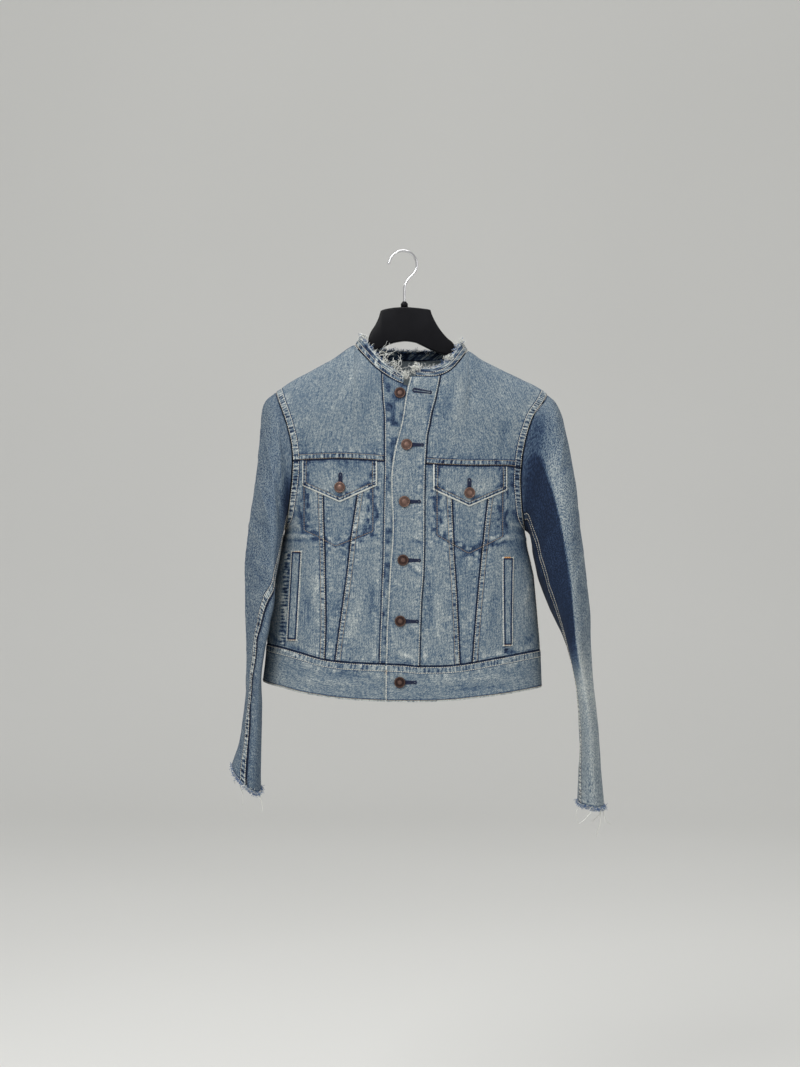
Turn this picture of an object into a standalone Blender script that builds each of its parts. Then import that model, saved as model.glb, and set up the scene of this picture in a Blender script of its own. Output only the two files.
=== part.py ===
"""Cropped denim jacket with a raw neck band and raw cuffs, hung on a moulded hanger.

The front faces -Y and +Z is up. The origin is the underside of the hook's top, where a rail
or another hook carries the hanger. Left and right are the wearer's own: left is +X.
Every table is in millimetres, and mesh points become metres in solid().
"""
import math

import bpy
import numpy as np

METRES = 0.001

# Cloth. Every piece of the body follows one torso surface and lies inside or outside it.
DENIM = 1.2          # one layer of cloth
DOUBLED = 2.0        # two layers pressed together: plackets, bands and flaps
SEAM = 0.2           # what each piece keeps back from a seam
SLEEVE_SEAM = 0.45  # the same on the sleeves, whose seams bend more sharply
LAY = 0.4            # clearance under a piece that lies on another
BAG_LAY = 0.9        # the same for a pocket bag inside the fronts
LAP = 0.65           # the same where the long plackets lap
GIRTH_POWER = 2.4    # roundness of the torso's sections: 2 is an ellipse
GIRTH_DEPTH = 0.38   # their usual depth over their width
CAP = 95.0           # how far below the shoulder line the front and back reach full depth
ALL_THE_WAY = 1000.0  # an x past either side seam

# Reach of the torso's sections from the hook's line: both halves, front and back.
TORSO = (
    # z     right   left  front  back
    (-120, 222.0, 240.0, 58.0, 56.0),
    (-200, 214.0, 232.0, 62.0, 60.0),
    (-240, 206.0, 222.0, 67.0, 66.0),
    (-300, 188.0, 202.0, 71.0, 71.0),
    (-350, 184.0, 194.0, 73.0, 73.0),
    (-385, 178.0, 186.0, 74.0, 74.0),
    (-408, 173.0, 178.5, 75.0, 74.0),
    (-430, 178.0, 181.5, 75.0, 74.0),
    (-458, 185.0, 188.0, 75.5, 74.0),
    (-500, 191.5, 194.0, 76.0, 74.0),
    (-545, 197.0, 198.0, 76.0, 75.0),
    (-590, 201.0, 201.0, 75.5, 76.0),
    (-660, 208.0, 204.0, 75.0, 77.0),
)

# Height of the shoulder line from the right tip to the left; across the neck it is imagined.
SHOULDER = (
    # x       z
    (-188, -207.0),
    (-163, -190.0),
    (-130, -172.5),
    (-104, -157.5),
    (-72, -137.2),
    (-30, -128.0),
    (10, -127.0),
    (50, -131.0),
    (96, -145.2),
    (116, -158.5),
    (147, -174.5),
    (177, -188.5),
    (204, -202.5),
    (215, -211.0),
)
RIGHT_TIP, LEFT_TIP = -187.0, 214.0
RIGHT_NECK, LEFT_NECK = -71.5, 96.0
ARMPIT = -408.0

ARMHOLE = (
    # z     right    left
    (-206, -187.0, 214.0),
    (-222, -181.5, 205.0),
    (-240, -174.5, 191.5),
    (-261, -167.5, 183.0),
    (-283, -162.5, 177.0),
    (-307, -160.5, 173.0),
    (-337, -162.0, 171.0),
    (-369, -165.5, 172.5),
    (-393, -169.5, 175.5),
    (-408, -173.0, 178.5),
)

# The neck seam. Undone at the top, the right front hangs lower than the left.
NECK_RIGHT = ((-71.5, -137.2), (-64.9, -146.1), (-56.5, -155.9), (-46.8, -166.7),
              (-37.3, -175.9), (-26.4, -183.8), (-15.5, -190.7), (1.4, -198.4), (30, -206))
NECK_LEFT = ((10, -187.2), (26, -187.0), (34.3, -187.5), (43.8, -187.4), (54.7, -185.1),
             (65.7, -180.2), (75.3, -171.9), (83.8, -161.5), (91, -151.8), (96, -145.2))
NECK_BACK = ((-71.5, -137.2), (-60, -146.5), (-40, -153.5), (0, -156.5), (35, -157.0),
             (62, -155.5), (84, -151.5), (96, -145.2))
BAND_RIGHT_END, BAND_LEFT_END = 0.5, 19.0
BAND_RISE, BAND_LEAN = 13.0, 8.0     # up, and in towards the neck
NECK_CENTRE = (12.0, -8.0, 0.0)
NECK_GAP = 0.9                       # between the neck seam and the band's foot

# Seams of the fronts, as lines down the torso (z, x) and across it (x, z).
YOKE_SEAM = ((-165, -308.4), (-128, -307.0), (-94, -306.0), (-59, -307.5), (-24, -309.5),
             (0, -309.5), (20, -311.5), (41, -314.0), (68, -315.3), (97, -316.2), (150, -316.0),
             (175, -319.5))
WAIST_SEAM = ((-202, -575.0), (-174, -580.0), (-149, -586.5), (-113, -596.0), (-84, -599.5),
              (-49, -601.2), (-1, -603.0), (26, -605.3), (56, -605.0), (85, -602.5),
              (115, -597.8), (147, -592.3), (178, -587.2), (202, -584.0))
HEM = ((-209, -629.0), (-199, -632.5), (-174, -638.0), (-149, -644.3), (-129, -647.5),
       (-101, -651.5), (-66, -654.3), (-27, -656.0), (30, -656.5), (66, -655.3),
       (104, -651.6), (147, -647.0), (178, -642.2), (205, -638.5))
BACK_YOKE_SEAM = ((-175, -296), (-90, -301), (0, -309), (90, -304), (185, -302))
BACK_WAIST_SEAM = ((-202, -575.0), (0, -583.0), (202, -584.0))
BACK_HEM = ((-209, -629.0), (0, -637.0), (205, -638.5))
BAND_LEVEL = -628.0      # middle of the waistband at the front
BAND_PROUD = 0.6         # how far the waistband stands out of the torso surface
BAND_LAP_RAMP = (4.0, 22.0)   # the lapping end comes down over this stretch, past the lap

PLACKET_EDGE = ((-187, 11.0), (-205, 6.0), (-219, 3.2), (-250, -1.4), (-295, -12.5),
                (-317, -15.9), (-338, -17.4), (-366, -16.8), (-400, -15.2), (-426, -16.0),
                (-455, -18.4), (-508, -21.5), (-550, -23.7), (-603, -25.1), (-656, -26.8))
PLACKET_SEAM = ((-187, 53.8), (-205, 50.3), (-223, 46.3), (-237, 42.2), (-256, 38.8),
                (-273, 35.2), (-296, 33.6), (-320, 32.2), (-366, 31.5), (-423, 31.2),
                (-474, 30.0), (-508, 27.2), (-550, 25.5), (-603, 23.8))
BUTTON_SEAM = ((-190, -30.6), (-219, -28.9), (-248, -26.6), (-314, -26.4), (-348, -27.1),
               (-400, -28.0), (-440, -28.6), (-492, -30.7), (-527, -31.8), (-561, -33.3),
               (-593, -34.3), (-603, -34.5))
UNDERLAP_EDGE = ((-187, 26.0), (-656, 17.5))      # hidden edge of the button placket
WEDGE_SEAMS = {
    "right": (((-300, -116.5), (-400, -114.6), (-458, -112.6), (-544, -111.4), (-603, -113.2)),
              ((-300, -58.0), (-360, -66.1), (-417, -74.8), (-466, -80.3), (-553, -92.4),
               (-603, -99.0))),
    "left": (((-300, 66.0), (-366, 70.6), (-404, 72.3), (-442, 73.8), (-487, 76.8),
              (-550, 80.0), (-608, 82.4)),
             ((-300, 131.0), (-366, 122.5), (-439, 114.0), (-476, 110.3), (-529, 105.4),
              (-608, 99.2))),
}
BACK_SEAMS = {"right": ((-290, -92.0), (-600, -58.0)), "left": ((-290, 95.0), (-600, 58.0))}

# Pocket flaps: straight sides and a pointed lower edge.
FLAPS = {
    #          x_in    x_out  corner_z  point_x  point_z
    "right": (-37.3, -145.7, -344.7, -91.2, -368.7),
    "left": (43.2, 150.4, -351.1, 95.5, -375.1),
}
POCKET_BAGS = {
    #          x_in    x_out  lower edge (x, z)
    "right": (-43.5, -143.5, ((-143.5, -409.0), (-125.0, -417.4), (-97.3, -432.0),
                              (-43.5, -410.6))),
    "left": (49.0, 144.5, ((49.0, -416.0), (94.7, -442.4), (144.5, -418.0))),
}
WELTS = {
    #         x at the top     x at the bottom   top     bottom
    "right": (-162.0, -145.6, -169.0, -152.5, -438.5, -569.5),
    "left": (142.7, 160.2, 143.8, 158.6, -447.6, -576.9),
}

# Large soft folds of the fronts: ridges stand out, troughs (negative) sink in.
FOLDS = (
    # side     x1      z1      x2      z2   width  height
    ("front", -166.0, -425.0, -118.0, -423.0, 13.0, 1.9),
    ("front", -172.0, -437.0, -128.0, -436.0, 13.0, -1.4),
    ("front", -108.0, -436.0, -66.0, -428.0, 14.0, 1.4),
    ("front", 2.0, -426.0, 40.0, -429.0, 16.0, 1.2),
    ("front", 118.0, -431.0, 172.0, -432.0, 13.0, 1.9),
    ("front", 122.0, -442.0, 168.0, -443.0, 13.0, -1.3),
    ("front", -150.0, -330.0, -158.0, -395.0, 16.0, -2.2),
    ("front", 160.0, -335.0, 165.0, -395.0, 16.0, -2.4),
    ("front", -52.0, -325.0, -44.0, -420.0, 15.0, 1.6),
    ("front", 45.0, -330.0, 40.0, -400.0, 15.0, 1.6),
    ("front", -60.0, -440.0, -52.0, -590.0, 22.0, 1.8),
    ("front", 52.0, -450.0, 60.0, -590.0, 22.0, 1.8),
    ("front", -130.0, -440.0, -140.0, -560.0, 16.0, 2.0),
    ("front", 128.0, -450.0, 124.0, -560.0, 16.0, 2.0),
    ("front", -55.0, -165.0, -92.0, -285.0, 24.0, 2.2),
    ("front", 72.0, -180.0, 62.0, -290.0, 22.0, 2.2),
    ("front", -120.0, -200.0, -140.0, -290.0, 24.0, -1.8),
    ("front", 140.0, -215.0, 152.0, -295.0, 24.0, -1.8),
    ("back", -150.0, -320.0, -120.0, -470.0, 26.0, 3.2),
    ("back", 155.0, -325.0, 125.0, -480.0, 26.0, 3.2),
    ("back", -60.0, -320.0, -75.0, -540.0, 28.0, -2.6),
    ("back", 70.0, -320.0, 62.0, -545.0, 28.0, -2.6),
    ("back", -130.0, -430.0, -60.0, -445.0, 20.0, 2.0),
    ("back", 50.0, -440.0, 135.0, -428.0, 20.0, 2.0),
    ("back", -10.0, -450.0, 5.0, -570.0, 26.0, 2.4),
)

# Sleeve sections from just outside the armhole to the cuff. The outer and inner points lie
# half way between front and back; seam is where the front seam runs, in degrees around the
# section from the outer point (0) by the front fold (90) to the inner point (180).
SLEEVES = {
    "right": (
        # outer x, z      front x, y, z       inner x, z     back y  seam
        (-204.4, -223.3, -173.0, -46, -318.0, -182.0, -414.5, 50, 150),
        (-210.2, -261.7, -178.5, -60, -362.0, -186.5, -435.0, 60, 142),
        (-214.4, -320.5, -183.1, -70, -401.5, -190.5, -459.0, 64, 132),
        (-223.0, -379.3, -187.1, -76, -441.5, -199.0, -496.0, 62, 120),
        (-230.1, -445.3, -189.0, -78, -487.9, -204.5, -528.5, 56, 102),
        (-231.4, -511.2, -195.1, -78, -533.0, -208.5, -554.0, 50, 76),
        (-229.8, -569.7, -201.0, -77, -576.2, -211.5, -587.0, 46, 57),
        (-229.0, -616.4, -207.5, -76, -619.9, -211.5, -627.0, 42, 52),
        (-231.0, -660.2, -211.0, -75, -662.1, -207.5, -664.6, 36, 54),
        (-238.0, -712.4, -214.6, -74, -716.3, -208.5, -719.3, 26, 64),
        (-250.1, -751.3, -226.2, -73, -779.0, -207.1, -786.3, 14, 92),
    ),
    "left": (
        (227.5, -226.3, 194.4, -46, -304.0, 187.0, -418.0, 50, 150),
        (239.0, -262.6, 208.7, -58, -336.0, 190.9, -443.0, 60, 150),
        (249.3, -325.9, 220.6, -68, -378.5, 197.9, -476.0, 64, 150),
        (257.9, -390.0, 230.4, -73, -427.2, 208.5, -506.5, 64, 150),
        (266.5, -457.0, 238.9, -75, -480.7, 222.0, -537.8, 60, 152),
        (272.7, -522.9, 244.7, -74, -535.3, 236.0, -567.5, 54, 154),
        (276.1, -584.5, 250.5, -73, -586.6, 246.6, -598.7, 48, 156),
        (279.5, -642.8, 260.3, -70, -641.4, 254.4, -645.8, 38, 158),
        (285.0, -696.7, 266.7, -68, -694.9, 258.0, -696.7, 28, 158),
        (288.3, -742.5, 268.3, -67, -739.3, 258.2, -739.5, 24, 158),
        (294.2, -811.7, 271.4, -64, -810.0, 254.8, -804.7, 16, 158),
    ),
}
SLEEVE_POWER = 2.25
SLEEVE_STEPS = 18         # rings of points down a sleeve
SLEEVE_CUTS = {"right": (), "left": (6, 11)}      # rings where a long, narrow sleeve is divided
BACK_SEAM = 232.0         # degrees round the section, the same all the way down
ARMHOLE_STEP = 0.95       # a sleeve starts this far outside the armhole
SLEEVE_FOLDS = {
    # along: 0 at the armhole, 1 at the cuff; around: degrees; spans of each; height
    "right": (
        (0.10, 60, 0.05, 30, 2.2), (0.20, 100, 0.035, 26, -2.0), (0.30, 40, 0.045, 28, 2.4),
        (0.40, 70, 0.03, 24, -2.0), (0.47, 25, 0.03, 26, 2.2), (0.55, 300, 0.035, 30, -2.2),
        (0.62, 60, 0.03, 26, 1.8), (0.75, 30, 0.04, 30, 1.6), (0.28, 290, 0.05, 34, 2.6),
        (0.42, 255, 0.035, 30, -2.4), (0.86, 320, 0.04, 36, 1.6),
    ),
    "left": (
        (0.12, 40, 0.05, 30, 2.4), (0.22, 130, 0.035, 24, -2.2), (0.30, 20, 0.05, 28, 2.2),
        (0.38, 140, 0.03, 24, 2.2), (0.45, 60, 0.035, 24, -1.8), (0.55, 15, 0.04, 28, 1.8),
        (0.66, 45, 0.04, 26, -1.8), (0.80, 30, 0.045, 30, 1.8), (0.30, 285, 0.05, 34, 2.6),
        (0.44, 250, 0.035, 30, -2.4), (0.86, 310, 0.04, 36, 1.6),
    ),
}

# Raw edges: a narrow frayed strip with strands that grow out of it.
FRAY_STRIP = 2.4
FRAY_GAP = 0.95
FRAY_THICKNESS = 1.0
CUFF_STRANDS, NECK_STRANDS = 52, 72   # columns of a strip: every second one grows a strand
CUFF_FRAY_LENGTH = (4.0, 11.0)
NECK_FRAY_LENGTH = (2.0, 5.5)
LONG_THREADS = {
    # where round the cuff (degrees), then how far it drifts in x and y, and falls
    "right": ((75, 5.0, -2.0, 30.0),),
    "left": ((60, -20.0, -4.0, 52.0), (20, 2.0, -3.0, 30.0), (335, -9.0, 3.0, 30.0)),
}
SEED = 11

# Buttons: a flat-shanked cap, turned. Each sits on the cloth with a small clearance.
BUTTON_PROFILE = ((3.2, 0.0), (3.2, 1.3), (7.7, 1.5), (8.0, 2.1), (7.5, 3.1), (4.6, 3.3))
BUTTON_TOP = 3.6
BUTTON_SIDES = 10
BUTTONS = (
    # name           x       z      lift above the torso surface
    ("button_1", -4.5, -210.9, 0.0),
    ("button_2", 5.2, -285.7, 2.0),
    ("button_3", 1.9, -367.9, 2.0),
    ("button_4", -0.1, -452.1, 2.0),
    ("button_5", -4.1, -539.8, 2.0),
    ("button_6", -4.7, -627.8, 3.2),
    ("button_right_flap", -90.7, -347.2, 2.0),
    ("button_left_flap", 95.3, -355.1, 2.0),
)

# Hanger: sections along x; the arms' tops follow the cloth that they carry.
HANGER = (
    # x       top    bottom  half thickness
    (-181, -202.0, -219.0, 13.0),
    (-172, -194.0, -220.0, 18.0),
    (-150, -182.0, -213.0, 18.0),
    (-130, -171.0, -203.0, 17.0),
    (-108, -159.0, -193.0, 15.0),
    (-84, -149.2, -180.0, 12.0),
    (-68, -143.0, -168.0, 10.0),
    (-58, -143.0, -157.0, 8.5),
    (-52.5, -138.5, -149.0, 8.5),
    (-50.5, -126.0, -146.0, 8.5),
    (-47.3, -117.9, -144.6, 8.5),
    (-40.4, -106.9, -143.9, 8.5),
    (-35.7, -96.6, -143.0, 8.5),
    (-32.3, -86.7, -141.6, 8.5),
    (-21.3, -83.4, -136.4, 8.5),
    (-10.3, -81.9, -133.0, 8.5),
    (3.4, -81.3, -131.3, 8.5),
    (17.2, -82.2, -133.0, 8.5),
    (26.8, -83.2, -137.1, 8.5),
    (39.8, -85.4, -143.4, 8.5),
    (42.5, -92.5, -144.7, 8.5),
    (48.1, -104.2, -146.9, 8.5),
    (55.6, -115.8, -149.8, 8.5),
    (65.1, -126.9, -151.8, 8.5),
    (74.8, -136.1, -154.0, 8.5),
    (76.8, -148.0, -157.0, 8.5),
    (94, -154.0, -175.0, 10.0),
    (106, -155.0, -184.0, 12.0),
    (124, -163.0, -195.0, 15.0),
    (147, -176.0, -207.0, 17.0),
    (177, -190.0, -217.0, 18.0),
    (198, -201.0, -224.0, 18.0),
    (207, -208.0, -222.0, 13.0),
)
HANGER_BEVEL = 2.6
HANGER_SIDES = 10
HANGER_CLEARANCE = 1.2
WIRE = 3.8                # thickness of the hook's wire
HOOK_RADIUS = 20.5        # to the middle of the wire
HOOK_CENTRE = WIRE / 2 - HOOK_RADIUS
HOOK_TIP_ANGLE, HOOK_HEEL_ANGLE = 178.0, -48.0
HOOK_LIP = (-23.4, HOOK_CENTRE + 2.9)     # the tip turns out a little
SHANK_X = 2.0
SHANK_BEND = -54.0        # where the wire has come back over the ferrule
SHANK_FOOT = -80.9
FERRULE_PROFILE = ((5.2, 0.0), (5.2, 5.0), (3.4, 6.6), (3.0, 8.0))
FERRULE_SIDES = 16

COLOURS = {
    "denim": ((0.235, 0.315, 0.405), 0.9, 0.0),
    "denim_dark": ((0.125, 0.185, 0.275), 0.9, 0.0),
    "fray": ((0.62, 0.66, 0.70), 0.95, 0.0),
    "copper": ((0.28, 0.12, 0.075), 0.42, 0.85),
    "plastic": ((0.012, 0.012, 0.014), 0.38, 0.0),
    "steel": ((0.72, 0.72, 0.74), 0.18, 1.0),
}
SIDES = ("right", "left")


# Curves through tables

def curve(points, at):
    """Smooth curve through (key, value) points, with no overshoot between them."""
    table = np.array(sorted(points), float)
    keys, values = table[:, 0], table[:, 1]
    steps = np.diff(values) / np.diff(keys)
    slopes = np.zeros(len(keys))
    slopes[0], slopes[-1] = steps[0], steps[-1]
    inner = steps[:-1] * steps[1:] > 0
    slopes[1:-1][inner] = 2 * steps[:-1][inner] * steps[1:][inner] / (steps[:-1] + steps[1:])[inner]
    at = np.clip(np.asarray(at, float), keys[0], keys[-1])
    i = np.clip(np.searchsorted(keys, at) - 1, 0, len(keys) - 2)
    span = keys[i + 1] - keys[i]
    t = (at - keys[i]) / span
    return ((1 + 2 * t) * (1 - t) ** 2 * values[i] + t * (1 - t) ** 2 * span * slopes[i]
            + t * t * (3 - 2 * t) * values[i + 1] + t * t * (t - 1) * span * slopes[i + 1])


def column(table, number):
    """(key, value) points of one column of a table whose first column is the key."""
    return [(row[0], row[number]) for row in table]


def straight(points, at):
    """Straight runs through (key, value) points."""
    table = np.array(sorted(points), float)
    return np.interp(at, table[:, 0], table[:, 1])


# The torso surface. p runs across a front or back: -1 at the right side, 0 at the middle and
# 1 at the left side, evenly along the cloth. Depth down the cloth is w, 0 at the shoulder line.

def quarter_section():
    """Even steps along one quarter of a section of half width 1: fraction, x and y share."""
    angle = np.linspace(0, math.pi / 2, 3000)
    x = np.sin(angle) ** (2 / GIRTH_POWER)
    y = np.cos(angle) ** (2 / GIRTH_POWER)
    length = np.concatenate(([0], np.cumsum(np.hypot(np.diff(x), GIRTH_DEPTH * np.diff(y)))))
    return length / length[-1], x, y


GIRTH, ACROSS, DEEP = quarter_section()


def half_width(p_or_x, z):
    right = curve(column(TORSO, 1), z)
    left = curve(column(TORSO, 2), z)
    return np.where(np.asarray(p_or_x) < 0, right, left)


def p_at(x, z):
    share = np.clip(np.abs(x) / half_width(x, z), 0, 1)
    return np.sign(x) * np.interp(share, ACROSS, GIRTH)


def x_at(p, z):
    return np.sign(p) * half_width(p, z) * np.interp(np.abs(p), GIRTH, ACROSS)


def depth_w(x, z):
    """How far down the cloth z is at x: a quarter turn over the shoulder, then straight."""
    drop = np.clip((curve(SHOULDER, x) - z) / CAP, 0, None)
    over = np.arccos(np.clip(1 - drop, 0, 1))
    return np.where(drop < 1, over, math.pi / 2 + drop - 1)


def height(x, w):
    drop = np.where(w < math.pi / 2, 1 - np.cos(w), 1 + w - math.pi / 2)
    return curve(SHOULDER, x) - CAP * drop


def fold_height(side, x, z):
    total = np.zeros(np.broadcast(x, z).shape)
    for where, x1, z1, x2, z2, width, rise in FOLDS:
        if where == side:
            along = np.clip(((x - x1) * (x2 - x1) + (z - z1) * (z2 - z1))
                            / ((x2 - x1) ** 2 + (z2 - z1) ** 2), 0, 1)
            away = np.hypot(x - x1 - along * (x2 - x1), z - z1 - along * (z2 - z1))
            total = total + rise * np.exp(-(away / width) ** 2)
    return total


def torso_point(side, p, w):
    """Points of the torso surface, in millimetres."""
    facing, reach = (-1, 3) if side == "front" else (1, 4)
    z = height(x_at(p, ARMPIT), w)
    for _ in range(8):
        z = height(x_at(p, z), w)
    x = x_at(p, z)
    over = np.sin(np.clip(w, 0, math.pi / 2))
    deep = np.interp(np.abs(p), GIRTH, DEEP)
    y = facing * deep * over * (curve(column(TORSO, reach), z) + fold_height(side, x, z))
    return np.stack([x, y, z], -1)


def unit(vectors):
    return vectors / np.maximum(np.linalg.norm(vectors, axis=-1, keepdims=True), 1e-9)


def torso_normal(side, p, w):
    """Outward directions, measured a little inside the ends of the ranges."""
    p = np.clip(p, -0.985, 0.985)
    w = np.clip(w, 0.02, None)
    across = torso_point(side, p + 0.004, w) - torso_point(side, p - 0.004, w)
    down = torso_point(side, p, w + 0.012) - torso_point(side, p, w - 0.012)
    return unit(np.cross(across, down)) * (-1 if side == "front" else 1)


def at_xz(side, x, z):
    """One point of the surface and its outward direction, from x and z."""
    p, w = p_at(x, z), depth_w(x, z)
    return torso_point(side, p, w), torso_normal(side, p, w)


def along(points):
    """A seam given as (z, x) or (x, z) points, as a function."""
    return lambda at: curve(points, at)


def constant(value):
    return lambda at: np.full(np.shape(at), float(value))


def patch(side, left, right, top, bottom, columns, rows):
    """Grid of points and outward directions between four seams.

    left and right give x at a height, top and bottom give z at an x.
    """
    u, v = np.meshgrid(columns, rows)
    z = np.full(u.shape, float(np.mean([top(0.0), bottom(0.0)])))
    for _ in range(14):
        p_left, p_right = p_at(left(z), z), p_at(right(z), z)
        p = p_left + (p_right - p_left) * u
        x = x_at(p, z)
        w_top, w_bottom = depth_w(x, top(x)), depth_w(x, bottom(x))
        w = w_top + (w_bottom - w_top) * v
        z = height(x, w)
    return torso_point(side, p, w), torso_normal(side, p, w)


def keep_back(grid, sides="lrtb", amount=SEAM):
    """Draw a grid's edges in from its seams: left, right, top, bottom."""
    grid = grid.copy()
    for mark, edge, inner in (("l", np.s_[:, 0], np.s_[:, 1]), ("r", np.s_[:, -1], np.s_[:, -2]),
                              ("t", np.s_[0], np.s_[1]), ("b", np.s_[-1], np.s_[-2])):
        if mark in sides:
            grid[edge] += unit(grid[inner] - grid[edge]) * amount
    return grid


# Solids

def finish(name, colour, mesh):
    """Give a mesh its own material and its place in the scene."""
    tint, roughness, metallic = COLOURS[colour]
    material = bpy.data.materials.new(name + "_finish")
    material.use_nodes = True
    shader = material.node_tree.nodes["Principled BSDF"]
    shader.inputs["Base Color"].default_value = (*tint, 1.0)
    shader.inputs["Roughness"].default_value = roughness
    shader.inputs["Metallic"].default_value = metallic
    mesh.materials.append(material)
    piece = bpy.data.objects.new(name, mesh)
    bpy.context.scene.collection.objects.link(piece)
    return piece


def volume(points, faces):
    total = 0.0
    for face in faces:
        for i in range(1, len(face) - 1):
            total += np.dot(points[face[0]], np.cross(points[face[i]], points[face[i + 1]]))
    return total


def solid(name, colour, points, faces):
    """A closed solid from points in millimetres; its faces are turned to point out."""
    points = np.asarray(points, float)
    if volume(points - points.mean(0), faces) < 0:
        faces = [tuple(reversed(face)) for face in faces]
    mesh = bpy.data.meshes.new(name)
    mesh.from_pydata((points * METRES).tolist(), [], faces)
    mesh.shade_smooth()
    mesh.set_sharp_from_angle(angle=math.radians(40))
    return finish(name, colour, mesh)


def shell_faces(rows, cols, ring, open_rim=()):
    """Faces of a wall between an outer and an inner grid. open_rim skips last-row rim faces."""
    def index(layer, row, col):
        return (layer * rows + row) * cols + col % cols

    spans = cols if ring else cols - 1
    faces = []
    for row in range(rows - 1):
        for col in range(spans):
            faces.append((index(0, row, col), index(0, row, col + 1),
                          index(0, row + 1, col + 1), index(0, row + 1, col)))
            faces.append((index(1, row, col), index(1, row + 1, col),
                          index(1, row + 1, col + 1), index(1, row, col + 1)))
    last = rows - 1
    for col in range(spans):
        faces.append((index(1, 0, col), index(1, 0, col + 1), index(0, 0, col + 1), index(0, 0, col)))
        if col not in open_rim:
            faces.append((index(0, last, col), index(0, last, col + 1),
                          index(1, last, col + 1), index(1, last, col)))
    if not ring:
        for row in range(last):
            faces.append((index(0, row, 0), index(0, row + 1, 0),
                          index(1, row + 1, 0), index(1, row, 0)))
            faces.append((index(1, row, cols - 1), index(1, row + 1, cols - 1),
                          index(0, row + 1, cols - 1), index(0, row, cols - 1)))
    return faces


def wall(name, colour, outer, inner, ring=False):
    rows, cols = outer.shape[:2]
    points = np.concatenate([outer.reshape(-1, 3), inner.reshape(-1, 3)])
    return solid(name, colour, points, shell_faces(rows, cols, ring))


def layer(name, colour, grid, low, high, sides="lrtb"):
    """A piece of cloth from a patch, between two distances from the torso surface."""
    points, out = grid
    edged = keep_back(points, sides)
    return wall(name, colour, edged + out * high, edged + out * low)


def fringe(name, outer, inner, strands, ring):
    """A frayed strip. strands maps a column to its centre line and its share of width."""
    rows, cols = outer.shape[:2]
    points = list(np.concatenate([outer.reshape(-1, 3), inner.reshape(-1, 3)]))
    faces = shell_faces(rows, cols, ring, open_rim=set(strands))
    last = rows - 1
    for col, line in strands.items():
        root = [last * cols + col, last * cols + (col + 1) % cols,
                (rows + last) * cols + (col + 1) % cols, (rows + last) * cols + col]
        corners = np.array([points[i] for i in root])
        centre = corners.mean(0)
        previous = root
        for step, (offset, share) in enumerate(line):
            ring_points = centre + offset + (corners - centre) * share
            start = len(points)
            points.extend(ring_points)
            current = [start + k for k in range(4)]
            for k in range(4):
                faces.append((previous[k], previous[(k + 1) % 4], current[(k + 1) % 4], current[k]))
            previous = current
        faces.append(tuple(previous))
    return solid(name, "fray", points, faces)


# The body's pieces

def even(count):
    return np.linspace(0, 1, count)


def outer_line(number, sign):
    """The armhole above the armpit and the side seam below it."""
    def x_of(z):
        return np.where(z > ARMPIT, curve(column(ARMHOLE, number), z), sign * ALL_THE_WAY)
    return x_of


def share_across(left, right, x):
    """Share of the way from one edge to the other at which a patch's column meets the
    shoulder line at x, so that a corner of its top edge falls on a column."""
    z = float(curve(SHOULDER, x))
    start, end = p_at(left(z), z), p_at(right(z), z)
    return float((p_at(x, z) - start) / (end - start))


def pit_rows(upper, lower, sign):
    """Rows of a side panel, which crowd down to the armpit's corner and are even below it."""
    top, bottom = float(upper(sign * ALL_THE_WAY)), float(lower(sign * ALL_THE_WAY))
    share = (ARMPIT - top) / (bottom - top)
    above = share * np.sin(math.pi / 2 * even(8))
    return np.concatenate([above, share + (1 - share) * even(8)[1:]])


def make_fronts():
    shoulder, yoke, waist = along(SHOULDER), along(YOKE_SEAM), along(WAIST_SEAM)
    body_rows = even(12)
    neck_rows = {}
    for side, number, sign in (("right", 1, -1), ("left", 2, 1)):
        neck = NECK_RIGHT if side == "right" else NECK_LEFT
        inner = BUTTON_SEAM if side == "right" else PLACKET_SEAM
        neck_x = RIGHT_NECK if side == "right" else LEFT_NECK

        def yoke_top(x, neck=neck, neck_x=neck_x, sign=sign):
            return np.where(x * sign > neck_x * sign, shoulder(x), curve(neck, x))

        neck_share = share_across(outer_line(number, sign), along(inner), neck_x)
        columns = np.concatenate([neck_share * even(7), neck_share + (1 - neck_share) * even(6)[1:]])
        rows = even(10)
        grid = patch("front", outer_line(number, sign), along(inner), yoke_top, yoke, columns, rows)
        layer("front_yoke_" + side, "denim", grid, -DENIM, 0.0)
        neck_rows[side] = grid[0][0, 6:]

        outer_seam, inner_seam = WEDGE_SEAMS[side] if side == "right" else WEDGE_SEAMS[side][::-1]
        grid = patch("front", outer_line(number, sign), along(outer_seam), yoke, waist,
                     even(7), pit_rows(yoke, waist, sign))
        layer("front_side_" + side, "denim", grid, -DENIM, 0.0)
        grid = patch("front", along(outer_seam), along(inner_seam), yoke, waist, even(5), body_rows)
        layer("front_wedge_" + side, "denim", grid, -DENIM, 0.0)
        grid = patch("front", along(inner_seam), along(inner), yoke, waist, even(5), body_rows)
        layer("front_centre_" + side, "denim", grid, -DENIM, 0.0)
    return neck_rows


def make_plackets():
    waist = along(WAIST_SEAM)
    grid = patch("front", along(BUTTON_SEAM), along(UNDERLAP_EDGE), along(NECK_RIGHT), waist,
                 even(4), even(17))
    layer("placket_button_side", "denim", grid, -DOUBLED, 0.0)
    grid = patch("front", along(PLACKET_EDGE), along(PLACKET_SEAM), along(NECK_LEFT), waist,
                 even(4), even(17))
    layer("placket_buttonhole_side", "denim", grid, LAP, DOUBLED + 0.2)


def flap_edge(corner_z, point_x, point_z, x_in, x_out):
    return lambda x: straight(((x_in, corner_z), (point_x, point_z), (x_out, corner_z)), x)


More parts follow.
